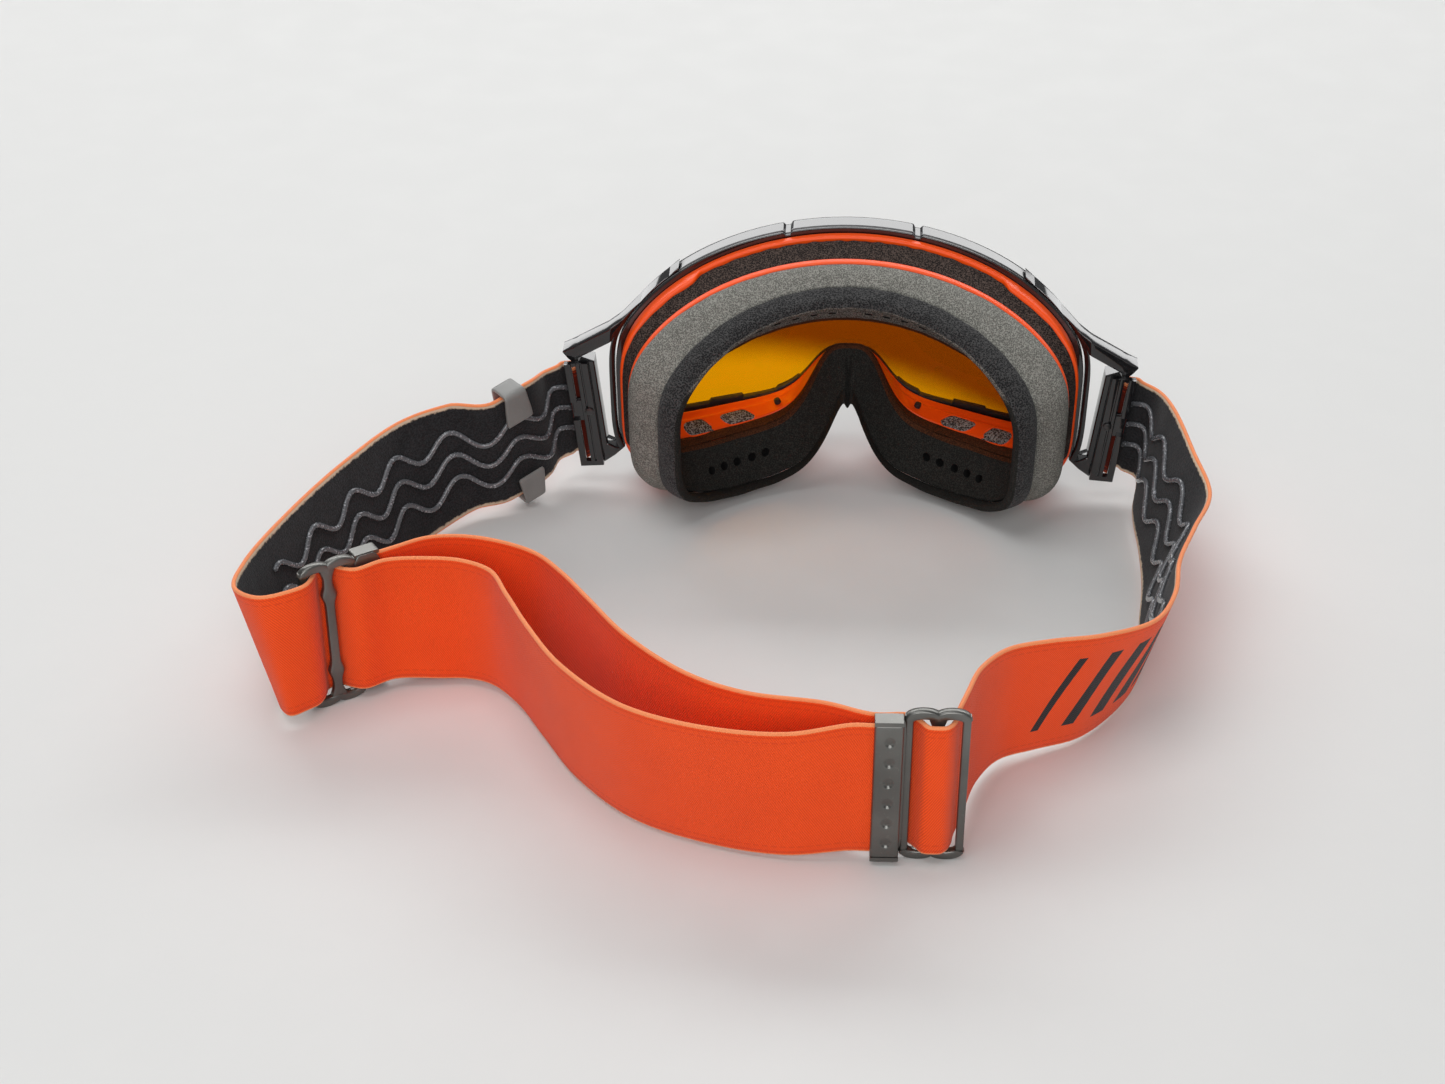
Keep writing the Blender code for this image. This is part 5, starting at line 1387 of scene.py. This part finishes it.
@dataclass
class Ladder:
    """One adjuster: a ring of three bars with swollen ends, a clamp and a dimpled crimp plate."""

    side: Side
    centre: tuple[float, float]
    turn: float
    slot_width: float = 0.0056
    bar_width: float = 0.0024
    thickness: float = 0.0020
    clamp_length: float = 0.0088
    half_height: float = 0.0260
    slot_half_height: float = 0.0234
    bump: float = 0.0018
    crimp_thickness: float = 0.0012
    dimples: int = 6

    def __post_init__(self) -> None:
        """Work out the places along the adjuster."""
        self.pitch = self.slot_width + self.bar_width
        self.ring_end = self.pitch + self.bar_width / 2
        self.clamp_end = self.ring_end + self.clamp_length
        self.weave = self.thickness / 2 + 0.0009 + 4 * GAP
        self.clamp_seat = self.thickness / 2 + GAP + 0.0009
        self.crimp_seat = self.clamp_seat + 0.0009 + GAP + self.crimp_thickness / 2
        c, s = math.cos(self.turn), math.sin(self.turn)
        self.axes = np.array([[c, s, 0.0], [-s, c, 0.0], [0.0, 0.0, 1.0]])

    @property
    def body(self) -> str:
        """The body that the adjuster is."""
        return f"{self.side.hand}_adjuster"

    def part(self, local: Points) -> Points:
        """Points given along, across and up from the adjuster's middle, in the part's frame."""
        return local @ self.axes + np.array([*self.centre, self.half_height])

    def stations(self, places: list[tuple[float, float]], half_width: float) -> list[Points]:
        """Upright strap stations at (along, across) places, each a middle and half its edge to edge."""
        edge = (0.0, 0.0, half_width)
        return [np.concatenate((self.part(np.array([s, m, 0.0])), edge)) for s, m in places]

    def build(self) -> None:
        """Build the ring with its clamp, and the crimp plate."""
        self.ring()
        self.crimp()

    def ring(self) -> None:
        """Three upright bars, two end arcs a slot, and the clamp's plate, as rounded sweeps."""
        profile = round_profile(20, 4.0)
        skin = Skin()
        reach = self.slot_half_height + self.bar_width * 0.4
        z = np.linspace(-reach, reach, 60)
        for s in (-self.pitch, 0.0, self.pitch):
            swell = 0.8 * np.exp(-((np.abs(z) - 0.0140) / 0.0022) ** 2) + smoothstep(np.abs(z), 0.0195, 0.0240)
            swell = swell + 0.3 if s == 0.0 else 0.0 * swell
            path = np.stack((np.full_like(z, s), np.zeros_like(z), z), axis=1)
            wide = self.bar_width / 2 * (1 + swell)
            deep = self.thickness / 2 * (1 + 0.25 * swell)
            skin.tube(self.part(sweep(path, (1.0, 0.0, 0.0), wide, deep, profile)))
        angle = np.linspace(0.0, math.pi, 28)
        for middle in (-self.pitch / 2, self.pitch / 2):
            for end in (-1.0, 1.0):
                rise = self.half_height - self.bump - 0.0013 + self.bump * np.sin(angle)
                path = np.stack((middle - self.pitch / 2 * np.cos(angle), np.zeros_like(angle), end * rise), axis=1)
                skin.tube(self.part(sweep(path, (0.0, 1.0, 0.0), self.thickness * 0.7, 0.0015, profile)))
        skin.tube(self.part(self.slab(self.ring_end - 0.0010, self.clamp_end, 0.0, self.thickness,
                                      self.half_height - self.bump)))
        settle(skin.piece(f"adjuster_{self.side.hand}_ring", (GUNMETAL,), 50.0), self.body,
               (f"adjuster_{self.side.hand}",))

    def slab(self, start: float, end: float, seat: float, thickness: float, half_height: float) -> Points:
        """An upright plate with rounded edges: a flat profile carried up its height.

        Args:
            start: where it begins along the adjuster.
            end: where it ends.
            seat: its middle across the adjuster.
            thickness: its thickness.
            half_height: half its height.

        Returns:
            A grid of stations by profile points by 3, in the adjuster's frame.
        """
        z = np.linspace(-half_height, half_height, 40)
        path = np.stack((np.full_like(z, (start + end) / 2), np.full_like(z, seat), z), axis=1)
        tuck = np.sqrt(np.clip(1 - (np.abs(z) / half_height) ** 16, 0.25, 1.0))
        return sweep(path, (1.0, 0.0, 0.0), (end - start) / 2 * tuck, thickness / 2 * tuck, round_profile(28, 8.0))

    def crimp(self) -> None:
        """The crimp plate: a pillowed sheet with six dents deepest at the bottom, its ends folded back."""
        length, height = self.clamp_length - 2 * GAP, 2 * self.slot_half_height
        u, v = np.linspace(-1.0, 1.0, 31), np.linspace(-1.0, 1.0, 141)
        grid_u, grid_v = np.meshgrid(u, v, indexing="ij")
        s = self.ring_end + self.clamp_length / 2 + grid_u * length / 2
        z = grid_v * height / 2
        edge = (1 - np.abs(grid_u) ** 10) * (1 - np.abs(grid_v) ** 60)
        rows = (np.arange(self.dimples) - (self.dimples - 1) / 2) * height / (self.dimples + 0.6)
        nearest = np.argmin(np.abs(z[..., None] - rows), axis=2)
        low = (rows[nearest] - z) / 0.0016
        beside = (s - self.ring_end - self.clamp_length * 0.47) / 0.0014
        dent = 0.00085 * (0.55 + 0.45 * np.clip(low, -1.0, 1.0)) * np.exp(-(beside ** 2 + low ** 2) ** 4)
        face = self.crimp_seat - self.crimp_thickness / 2 + self.crimp_thickness * np.clip(edge, 0.0, 1.0) ** 0.35
        front = np.stack((s, face - dent, z), axis=2)
        back = np.stack((s, np.full_like(s, self.crimp_seat - self.crimp_thickness / 2), z), axis=2)
        skin = Skin().grid(self.part(front)).grid(self.part(back))
        deep = np.linspace(0.0, self.crimp_seat + self.crimp_thickness / 2, 12)
        for end in (-1.0, 1.0):
            path = np.stack((np.full(12, self.ring_end + self.clamp_length / 2), deep,
                             np.full(12, end * (height / 2 + 0.0004))), axis=1)
            skin.tube(self.part(sweep(path, (1.0, 0.0, 0.0), length / 2, 0.0007, round_profile(28, 8.0))))
        settle(skin.piece(f"adjuster_crimp_{self.side.hand}_plate", (GUNMETAL,), 60.0), self.body,
               (f"adjuster_crimp_{self.side.hand}",))


@dataclass
class Strap:
    """One strap: its route, its webbing cut into pieces that each cross one joint, and its beads."""

    side: Side
    stations: list[Points]
    cuts: dict[str, int]
    near: Ladder
    far: Ladder
    width: float = 0.0450
    thickness: float = 0.0014
    step: float = 0.0018
    bead_radius: float = 0.0008
    bead_rows: tuple[float, ...] = (0.0085, -0.0005, -0.0095)
    bead_wave: float = 0.0240
    bead_swing: float = 0.0034
    bead_start: float = -0.0090
    bead_run: float = 0.1530

    def __post_init__(self) -> None:
        """Sample the route: centripetal Catmull-Rom curves through the stations."""
        points = np.array(self.stations)
        points = np.concatenate((2 * points[:1] - points[1:2], points, 2 * points[-1:] - points[-2:-1]))
        gaps = np.linalg.norm(np.diff(points[:, :3], axis=0), axis=1)
        knots = np.concatenate(([0.0], np.cumsum(gaps ** 0.5)))
        counts = np.maximum(3, np.ceil(gaps[1:-1] / self.step).astype(int))
        first = np.repeat(np.arange(len(counts)), counts)
        part = (np.arange(counts.sum()) - np.repeat(np.cumsum(counts) - counts, counts)) / counts[first]
        p = [points[first + k] for k in range(4)]
        k = [knots[first + n][:, None] for n in range(4)]
        t = k[1] + (k[2] - k[1]) * part[:, None]
        a = [((k[n + 1] - t) * p[n] + (t - k[n]) * p[n + 1]) / (k[n + 1] - k[n]) for n in range(3)]
        b = [((k[n + 2] - t) * a[n] + (t - k[n]) * a[n + 1]) / (k[n + 2] - k[n]) for n in range(2)]
        curve = ((k[2] - t) * b[0] + (t - k[1]) * b[1]) / (k[2] - k[1])
        curve = np.concatenate((curve, points[-2:-1]))
        self.at = np.concatenate((first + part, [len(counts)]))
        self.middle, self.edge = curve[:, :3], curve[:, 3:]
        self.measure()

    def measure(self) -> None:
        """Work out the length along the route and the way that its outer face looks."""
        gaps = np.linalg.norm(np.diff(self.middle, axis=0), axis=1)
        self.length = np.concatenate(([0.0], np.cumsum(gaps)))
        out = np.cross(np.gradient(self.middle, axis=0), self.edge)
        self.out = unit(out) * -self.side.value

    def axes_at(self, station: int) -> tuple[Points, Points]:
        """The directions from edge to edge and along the strap at a station, square to each other."""
        edge = unit(self.stations[station][3:])
        along = self.stations[station + 1][:3] - self.stations[station - 1][:3]
        return edge, unit(along - edge * along.dot(edge))

    def straighten(self, station: int, straight: float = 0.005, reach: float = 0.020) -> None:
        """Lay the strap straight where a clip slides on it, easing back to its own curve.

        Args:
            station: the station that the clip sits at.
            straight: how far each way the strap is straight.
            reach: how far each way it is moved at all.
        """
        here = self.stations[station]
        along = self.axes_at(station)[1]
        offset = self.middle - here[:3]
        on = offset @ along
        weight = (1 - smoothstep(np.abs(on), straight, reach)) * (np.linalg.norm(offset, axis=1) < 1.5 * reach)
        self.middle = self.middle - (offset - np.outer(on, along)) * weight[:, None]
        self.edge = self.edge + (here[3:] - self.edge) * weight[:, None]
        self.measure()

    def length_at(self, station: str) -> float:
        """How far along the strap a named cut lies."""
        return float(np.interp(self.cuts[station], self.at, self.length))

    def build(self) -> None:
        """Build the webbing's four pieces and the three beads."""
        anchor, mine, other = f"{self.side.hand}_anchor", self.near.body, self.far.body
        mark = self.length_at("weave") - 0.0900
        face = Webbing(f"strap_face_{self.side.hand}", PLAIN_WEB.colour, PLAIN_WEB.roughness,
                       dark=PLAIN_WEB.dark, bars_at=mark)
        fold = self.length_at("fold")
        turn, bar, run = self.length_at("turn"), self.length_at("bar"), self.length_at("run")
        end = float(self.length[-1])
        lined = (face, STRAP_LINING, EDGE_WEB)
        plain = (PLAIN_WEB, PLAIN_WEB, EDGE_WEB)
        rail = self.near.pitch + 0.004
        node = f"strap_{self.side.hand}"
        parts = (
            ("lead", 0.0, turn, lined, (anchor, ROOT, fold - 0.005, fold + 0.008)),
            ("turn", turn, bar, lined, (ROOT, mine, turn + 0.002, bar - rail)),
            ("run", bar, run, plain, (mine, ROOT, bar + self.near.clamp_end, bar + 0.055)),
            ("end", run, end, plain, (ROOT, other, end - 0.055, end - 0.016)),
        )
        for name, start, stop, finishes, bend in parts:
            piece = self.band(f"{node}_{name}", start, stop, finishes)
            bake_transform(piece)
            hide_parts(node)
        for row, level in enumerate(self.bead_rows, start=1):
            bead = self.bead(row, level)
            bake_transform(bead)
            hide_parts(f"grip_bead_{self.side.hand}_{row}")
            LOG.info("%s on the %s strap", bead.name, self.side.hand)

    def band(self, name: str, start: float, stop: float, finishes: tuple[Finish, ...]) -> bpy.types.Object:
        """A stretch of webbing: a flat profile with rounded edges carried along the route.

        Args:
            name: the piece's name.
            start: where it begins along the strap.
            stop: where it ends.
            finishes: the outer face's, the inner face's and the edges' finishes.

        Returns:
            The piece.
        """
        keep = (self.length >= start - 1e-7) & (self.length <= stop + 1e-7)
        middle, edge, out, length = self.middle[keep], self.edge[keep], self.out[keep], self.length[keep]
        flat = np.linspace(-1.0, 1.0, 19)
        curl = np.linspace(math.pi / 2, -math.pi / 2, 5)[1:-1]
        tuck = self.thickness / self.width
        across = np.concatenate((flat * (1 - tuck), 1 - tuck + tuck * np.cos(curl),
                                 -flat * (1 - tuck), -(1 - tuck) - tuck * np.cos(curl)))
        depth = np.concatenate((np.ones_like(flat), np.sin(curl), -np.ones_like(flat), -np.sin(curl)))
        slots = np.zeros(len(across), int)
        slots[len(flat) - 1:len(flat) + len(curl)] = 2
        slots[len(flat) + len(curl):2 * len(flat) + len(curl) - 1] = 1
        slots[2 * len(flat) + len(curl) - 1:] = 2
        grid = (middle[:, None] + edge[:, None] * across[None, :, None]
                + out[:, None] * depth[None, :, None] * self.thickness / 2)
        v = (np.append(across, across[0]) + 1) / 2 * self.width
        places = np.stack(np.meshgrid(length, v, indexing="ij"), axis=2)
        skin = Skin().grid(grid, wrap_cols=True, places=places, slots=slots)
        for last in (0, -1):
            closing = np.stack((grid[last], np.broadcast_to(grid[last].mean(axis=0), grid[last].shape)))
            skin.grid(closing, wrap_cols=True, slots=2)
        return skin.piece(name, finishes, 80.0)

    def bead(self, row: int, level: float) -> bpy.types.Object:
        """A wavy bead on the strap's inner face: a round profile on a sine path.

        Args:
            row: the bead's number from the top.
            level: its height on the strap.

        Returns:
            The piece.
        """
        begin = self.length_at("fold") + self.bead_start
        stops = begin + np.linspace(0.0, self.bead_run, 420)
        path, rise, out = (np.stack([np.interp(stops, self.length, table[:, k]) for k in range(3)], axis=1)
                           for table in (self.middle, self.edge, self.out))
        rise = unit(rise)
        phase = 2 * math.pi * (stops - begin) / self.bead_wave
        swing = self.bead_swing * np.sin(phase)
        seat = self.thickness / 2 + self.bead_radius * 0.75
        path = path + rise * (level + swing)[:, None] - out * seat
        ends = np.minimum(stops - begin, begin + self.bead_run - stops) / self.bead_radius
        radius = self.bead_radius * np.sqrt(np.clip(1 - (1 - np.clip(ends, 0.0, 1.0)) ** 2, 0.05, 1.0))
        grid = sweep(path, out, radius, radius * 1.15, round_profile(12))
        return Skin().tube(grid).piece(f"grip_bead_{self.side.hand}_{row}_line", (SILICONE,), 70.0)


@dataclass
class KeeperClip:
    """The grey clip round the left strap: a back plate with a hook over each edge."""

    strap: Strap
    station: int
    length: float = 0.0080
    wall: float = 0.0014
    room: float = 0.0028
    top_hook: float = 0.0125
    low_hook: float = 0.0118

    def build(self) -> None:
        """A flat bar carried along a C-shaped path round the strap, wider at the hooks' ends."""
        strap = self.strap
        middle = strap.stations[self.station][:3]
        edge, along = strap.axes_at(self.station)
        across = np.cross(edge, along)
        behind = strap.thickness / 2 + self.room + self.wall / 2
        front = strap.thickness / 2 + 2 * strap.bead_radius + 0.0010 + self.wall / 2
        high = strap.width / 2 + 3 * GAP + self.wall / 2
        corners = np.array([
            (front, -high + self.low_hook, 0, 0, 0), (front, -high, 0, 0, 0), (-behind, -high, 0, 0, 0),
            (-behind, high, 0, 0, 0), (front, high, 0, 0, 0), (front, high - self.top_hook, 0, 0, 0)])
        flat = soften(corners, 0.0016, 7, closed=False)[:, :2]
        gaps = np.concatenate(([0.0], np.cumsum(np.linalg.norm(np.diff(flat, axis=0), axis=1))))
        even = np.unique(np.concatenate((gaps, np.linspace(0.0, gaps[-1], 120))).round(7))
        flat = np.stack([np.interp(even, gaps, flat[:, k]) for k in range(2)], axis=1)
        path = middle + across * flat[:, :1] + edge * flat[:, 1:]
        share = even / even[-1]
        wide = self.length / 2 * (1 + 0.34 * smoothstep(share, 0.80, 1.0) + 0.34 * smoothstep(-share, -0.15, 0.0))
        tip = np.minimum(even, even[-1] - even) / self.wall
        ends = np.sqrt(np.clip(1 - (1 - np.clip(tip * 1.6, 0.0, 1.0)) ** 2, 0.08, 1.0))
        grid = sweep(path, along, wide * (0.9 + 0.1 * ends), self.wall / 2 * ends, round_profile(24, 6.0))
        settle(Skin().tube(grid).piece("strap_slider_clip", (CLIP_GREY,), 50.0), "slider", ("strap_slider",))


@dataclass
class Harness:
    """The strap loop: both straps, both adjusters and the keeper clip."""

    left_arm: Outrigger
    right_arm: Outrigger
    width: float = 0.0450
    end_width: float = 0.0400
    drop: float = 0.0040

    def floor(self, base: Points, rows: tuple[tuple[float, ...], ...]) -> list[Points]:
        """Strap stations laid on the floor: the lower edge lifted, the top edge leaned.

        Args:
            base: (x, y) that the rows count from.
            rows: x, y, how far the top edge leans in x and in y, and the lift.

        Returns:
            The stations, each a middle and half its edge to edge.
        """
        x, y, lean_x, lean_y, lift = np.array(rows).T
        rise = np.sqrt(self.width ** 2 - lean_x ** 2 - lean_y ** 2)
        return list(np.stack((base[0] + x, base[1] + y, lift + rise / 2, lean_x / 2, lean_y / 2, rise / 2), axis=1))

    def sewn(self, arm: Outrigger) -> list[Points]:
        """Stations of the sewn end: the fold round its rod, and the way out.

        Args:
            arm: the outrigger that holds it.

        Returns:
            The stations.
        """
        fold = 0.0012 + GAP + 0.0009
        centre = arm.post_outer + 2 * GAP + fold + 0.0009
        deep = fold + 0.0009 + 2 * GAP
        far, near, out = deep + fold, deep - fold, 0.0064
        turn = np.radians((90.0, 135.0, 180.0, 225.0, 270.0))
        bend = zip(centre + fold * np.cos(turn), deep - fold * np.sin(turn))
        places = [(centre + 0.0009, near), *bend, (centre + 0.003, far - 0.0002),
                  (out + 0.0035, far - 0.0018), (out + 0.0085, far - 0.0055)]
        sign = arm.side.value
        edge = arm.mask.turn((sign * math.sin(arm.lean), 0.0, math.cos(arm.lean))) * self.end_width / 2
        return [np.concatenate((arm.own(along, depth, -self.drop), edge)) for along, depth in places]

    def build(self) -> None:
        """Lay out both straps through both adjusters and build everything on them."""
        pin_left = self.left_arm.own(0.0, 0.0, 0.0)
        pin_right = self.right_arm.own(0.0, 0.0, 0.0)
        first = Ladder(Side.LEFT, (pin_left[0] - 0.0655, pin_left[1] - 0.1354), math.radians(35.6))
        second = Ladder(Side.RIGHT, (pin_right[0] - 0.0625, pin_right[1] - 0.2009), math.radians(181.7))
        half = self.width / 2
        pitch, weave, clamp = first.pitch, first.weave, first.clamp_end
        slot, crest = 0.58 * pitch, 0.32 * pitch
        weave_in = [(-0.0125, -0.0040), (-pitch, -weave), (-slot, 0.0), (-crest, 0.9 * weave), (0.0, weave),
                    (crest, 0.9 * weave), (slot, 0.0), (pitch, -weave), (clamp, -weave)]
        weave_out = [(-0.009, -0.0145), (-0.006, -0.0055), *weave_in[2:]]
        crimped = [(clamp + 0.006, first.clamp_seat), (clamp, first.clamp_seat),
                   (first.ring_end + 2 * GAP, first.clamp_seat)]
        left_turn = (
            (-0.0235, -0.0155, -0.004, -0.009, 0.0050), (-0.0415, -0.0240, -0.006, -0.004, 0.0030),
            (-0.0565, -0.0370, -0.008, 0.005, 0.0010), (-0.0700, -0.0630, -0.009, 0.003, 0.0006),
            (-0.0815, -0.0960, -0.010, 0.003, 0.0005), (-0.0885, -0.1270, -0.010, 0.002, 0.0012),
            (-0.0875, -0.1420, -0.010, -0.001, 0.0024), (-0.0803, -0.1492, -0.005, -0.001, 0.0032))
        outer_run = (
            (0.0295, 0.0110, -0.001, 0.001, 0.0025), (0.0395, 0.0115, 0.000, 0.000, 0.0020),
            (0.0485, 0.0075, 0.001, -0.002, 0.0020), (0.0565, -0.0030, -0.002, -0.004, 0.0015),
            (0.0655, -0.0185, -0.003, -0.005, 0.0010), (0.0780, -0.0385, -0.003, -0.005, 0.0010),
            (0.0970, -0.0570, -0.002, -0.005, 0.0010), (0.1200, -0.0665, -0.001, -0.004, 0.0010),
            (0.1430, -0.0700, 0.000, -0.002, 0.0015))
        right_turn = (
            (0.0155, -0.0150, 0.010, -0.002, 0.0045), (0.0180, -0.0380, 0.014, -0.003, 0.0025),
            (0.0195, -0.0580, 0.018, -0.005, 0.0010), (0.0145, -0.0800, 0.013, -0.008, 0.0006),
            (0.0100, -0.1010, 0.008, -0.009, 0.0005), (0.0070, -0.1170, 0.008, -0.012, 0.0005),
            (-0.0005, -0.1325, 0.008, -0.012, 0.0005), (-0.0150, -0.1460, 0.004, -0.008, 0.0008),
            (-0.0295, -0.1525, 0.002, -0.006, 0.0015), (-0.0415, -0.1590, 0.001, -0.005, 0.0022),
            (-0.0495, -0.1710, 0.000, -0.003, 0.0028))
        inner_run = (
            (0.1530, -0.0570, 0.000, 0.000, 0.0025), (0.1300, -0.0515, 0.000, -0.001, 0.0015),
            (0.1130, -0.0425, 0.000, -0.001, 0.0010), (0.0940, -0.0245, 0.000, -0.001, 0.0010),
            (0.0800, -0.0045, 0.000, -0.001, 0.0010), (0.0710, 0.0080, 0.000, 0.000, 0.0010),
            (0.0610, 0.0190, 0.000, 0.000, 0.0010), (0.0480, 0.0245, 0.000, 0.000, 0.0015),
            (0.0370, 0.0257, 0.000, 0.000, 0.0020), (0.0270, 0.0225, 0.000, 0.000, 0.0030))
        sewn_left, sewn_right = self.sewn(self.left_arm), self.sewn(self.right_arm)
        hem = len(sewn_left)
        left_route = (sewn_left + self.floor(pin_left, left_turn) + first.stations(weave_in, half)
                      + self.floor(first.centre, outer_run) + second.stations(crimped, half))
        right_route = (sewn_right + self.floor(pin_right, right_turn) + second.stations(weave_out, half)
                       + self.floor(first.centre, inner_run) + first.stations(crimped, half))
        left_cuts = {"fold": hem - 1, "turn": hem + 5, "weave": hem + len(left_turn),
                     "bar": hem + len(left_turn) + 4, "run": hem + len(left_turn) + 13}
        right_cuts = {"fold": hem - 1, "turn": hem + 7, "weave": hem + len(right_turn),
                      "bar": hem + len(right_turn) + 4, "run": hem + len(right_turn) + 13}
        left = Strap(Side.LEFT, left_route, left_cuts, first, second)
        right = Strap(Side.RIGHT, right_route, right_cuts, second, first)
        left.straighten(hem)
        left.build()
        right.build()
        first.build()
        second.build()
        KeeperClip(left, hem).build()


@dataclass
class Studio:
    """The floor, the soft lights, the pale surround and the camera."""

    target: tuple[float, float, float] = (-0.0091, 0.0476, 0.0)
    azimuth: float = math.radians(3.5)
    elevation: float = math.radians(32.0)
    distance: float = 0.835
    focal_pixels: float = 2400.0
    picture_width: float = 1445.0

    def build(self) -> None:
        """Build the stage and the camera."""
        self.floor()
        self.surround()
        self.lamp("key", (-0.30, -0.15, 1.25), (0.0, 0.02, 0.0), (0.9, 0.9), 6.0)
        self.lamp("fill", (0.05, -1.25, 0.75), (0.0, 0.0, 0.03), (0.9, 0.9), 9.0)
        self.lamp("rim", (0.03, 1.05, 0.92), (0.03, 0.10, 0.08), (2.0, 0.40), 12.0)
        self.lamp("edge_left", (-0.95, 1.15, 0.42), (-0.03, 0.10, 0.07), (0.4, 0.3), 1.4)
        self.lamp("edge_right", (1.02, 1.10, 0.42), (0.10, 0.10, 0.07), (0.4, 0.3), 1.4)
        self.camera()

    def floor(self) -> None:
        """A plain pale floor with a faint unevenness of tone."""
        size = np.linspace(-4.0, 4.0, 3)
        x, y = np.meshgrid(size, size, indexing="ij")
        finish = Moulded("studio_floor", (0.70, 0.70, 0.69), 0.65, grain=60.0, depth=0.00001, pale=0.02)
        piece = Skin().grid(np.stack((x, y, np.full_like(x, -0.0001)), axis=2)).piece("studio_floor", (finish,))

    def surround(self) -> None:
        """A pale world, seen at full strength by the camera and through the lens, weaker in gloss."""
        world = bpy.data.worlds.new("studio_world")
        world.use_nodes = True
        bpy.context.scene.world = world
        graph = Graph(world.node_tree)
        path = graph.node("ShaderNodeLightPath")
        seen = graph.math("MAXIMUM", path.outputs["Is Camera Ray"], path.outputs["Is Transmission Ray"])
        shade = world.node_tree.nodes["Background"]
        shade.inputs["Color"].default_value = (0.86, 0.87, 0.88, 1.0)
        graph.feed(shade.inputs["Strength"], graph.math("MULTIPLY_ADD", seen, 0.60, 0.25))

    def lamp(self, name: str, place: tuple[float, float, float], aim: tuple[float, float, float],
             size: tuple[float, float], power: float) -> None:
        """A soft light from a flat panel.

        Args:
            name: the lamp's name.
            place: where it hangs.
            aim: the point that it looks at.
            size: its width and height in metres.
            power: its watts.
        """
        light = bpy.data.lights.new(name, "AREA")
        light.shape, light.energy = "RECTANGLE", power
        light.size, light.size_y = size
        holder = bpy.data.objects.new(name, light)
        holder.location = place
        self.look(holder, np.array(place) - np.array(aim))
        bpy.context.scene.collection.objects.link(holder)

    def look(self, holder: bpy.types.Object, back: Points) -> None:
        """Turn a lamp or camera so that its own Z runs along back.

        Args:
            holder: the object to turn.
            back: the direction away from what it looks at.
        """
        holder.rotation_euler = (math.atan2(math.hypot(back[0], back[1]), back[2]), 0.0,
                                 math.atan2(back[0], -back[1]))

    def camera(self) -> None:
        """The camera at the photograph's view, without shift or depth of field."""
        c = math.cos(self.elevation)
        back = np.array([math.sin(self.azimuth) * c, -math.cos(self.azimuth) * c, math.sin(self.elevation)])
        lens = bpy.data.cameras.new("photo_view")
        lens.sensor_fit, lens.sensor_width = "HORIZONTAL", 36.0
        lens.lens = self.focal_pixels / self.picture_width * lens.sensor_width
        lens.clip_start = 0.01
        holder = bpy.data.objects.new("photo_view", lens)
        holder.location = np.array(self.target) + back * self.distance
        self.look(holder, back)
        bpy.context.scene.collection.objects.link(holder)
        bpy.context.scene.camera = holder


def main() -> None:
    logging.basicConfig(level=logging.INFO, format="%(message)s")
    bpy.context.scene.view_settings.view_transform = "Standard"
    mask = Mask()
    FrontFrame(mask).build()
    InnerFrame(mask).build()
    FaceFoam(mask).build()
    arms = [Outrigger(mask, side) for side in Side]
    for arm in arms:
        arm.build()
    Harness(*arms).build()
    Studio().build()


if __name__ == "__main__":
    main()
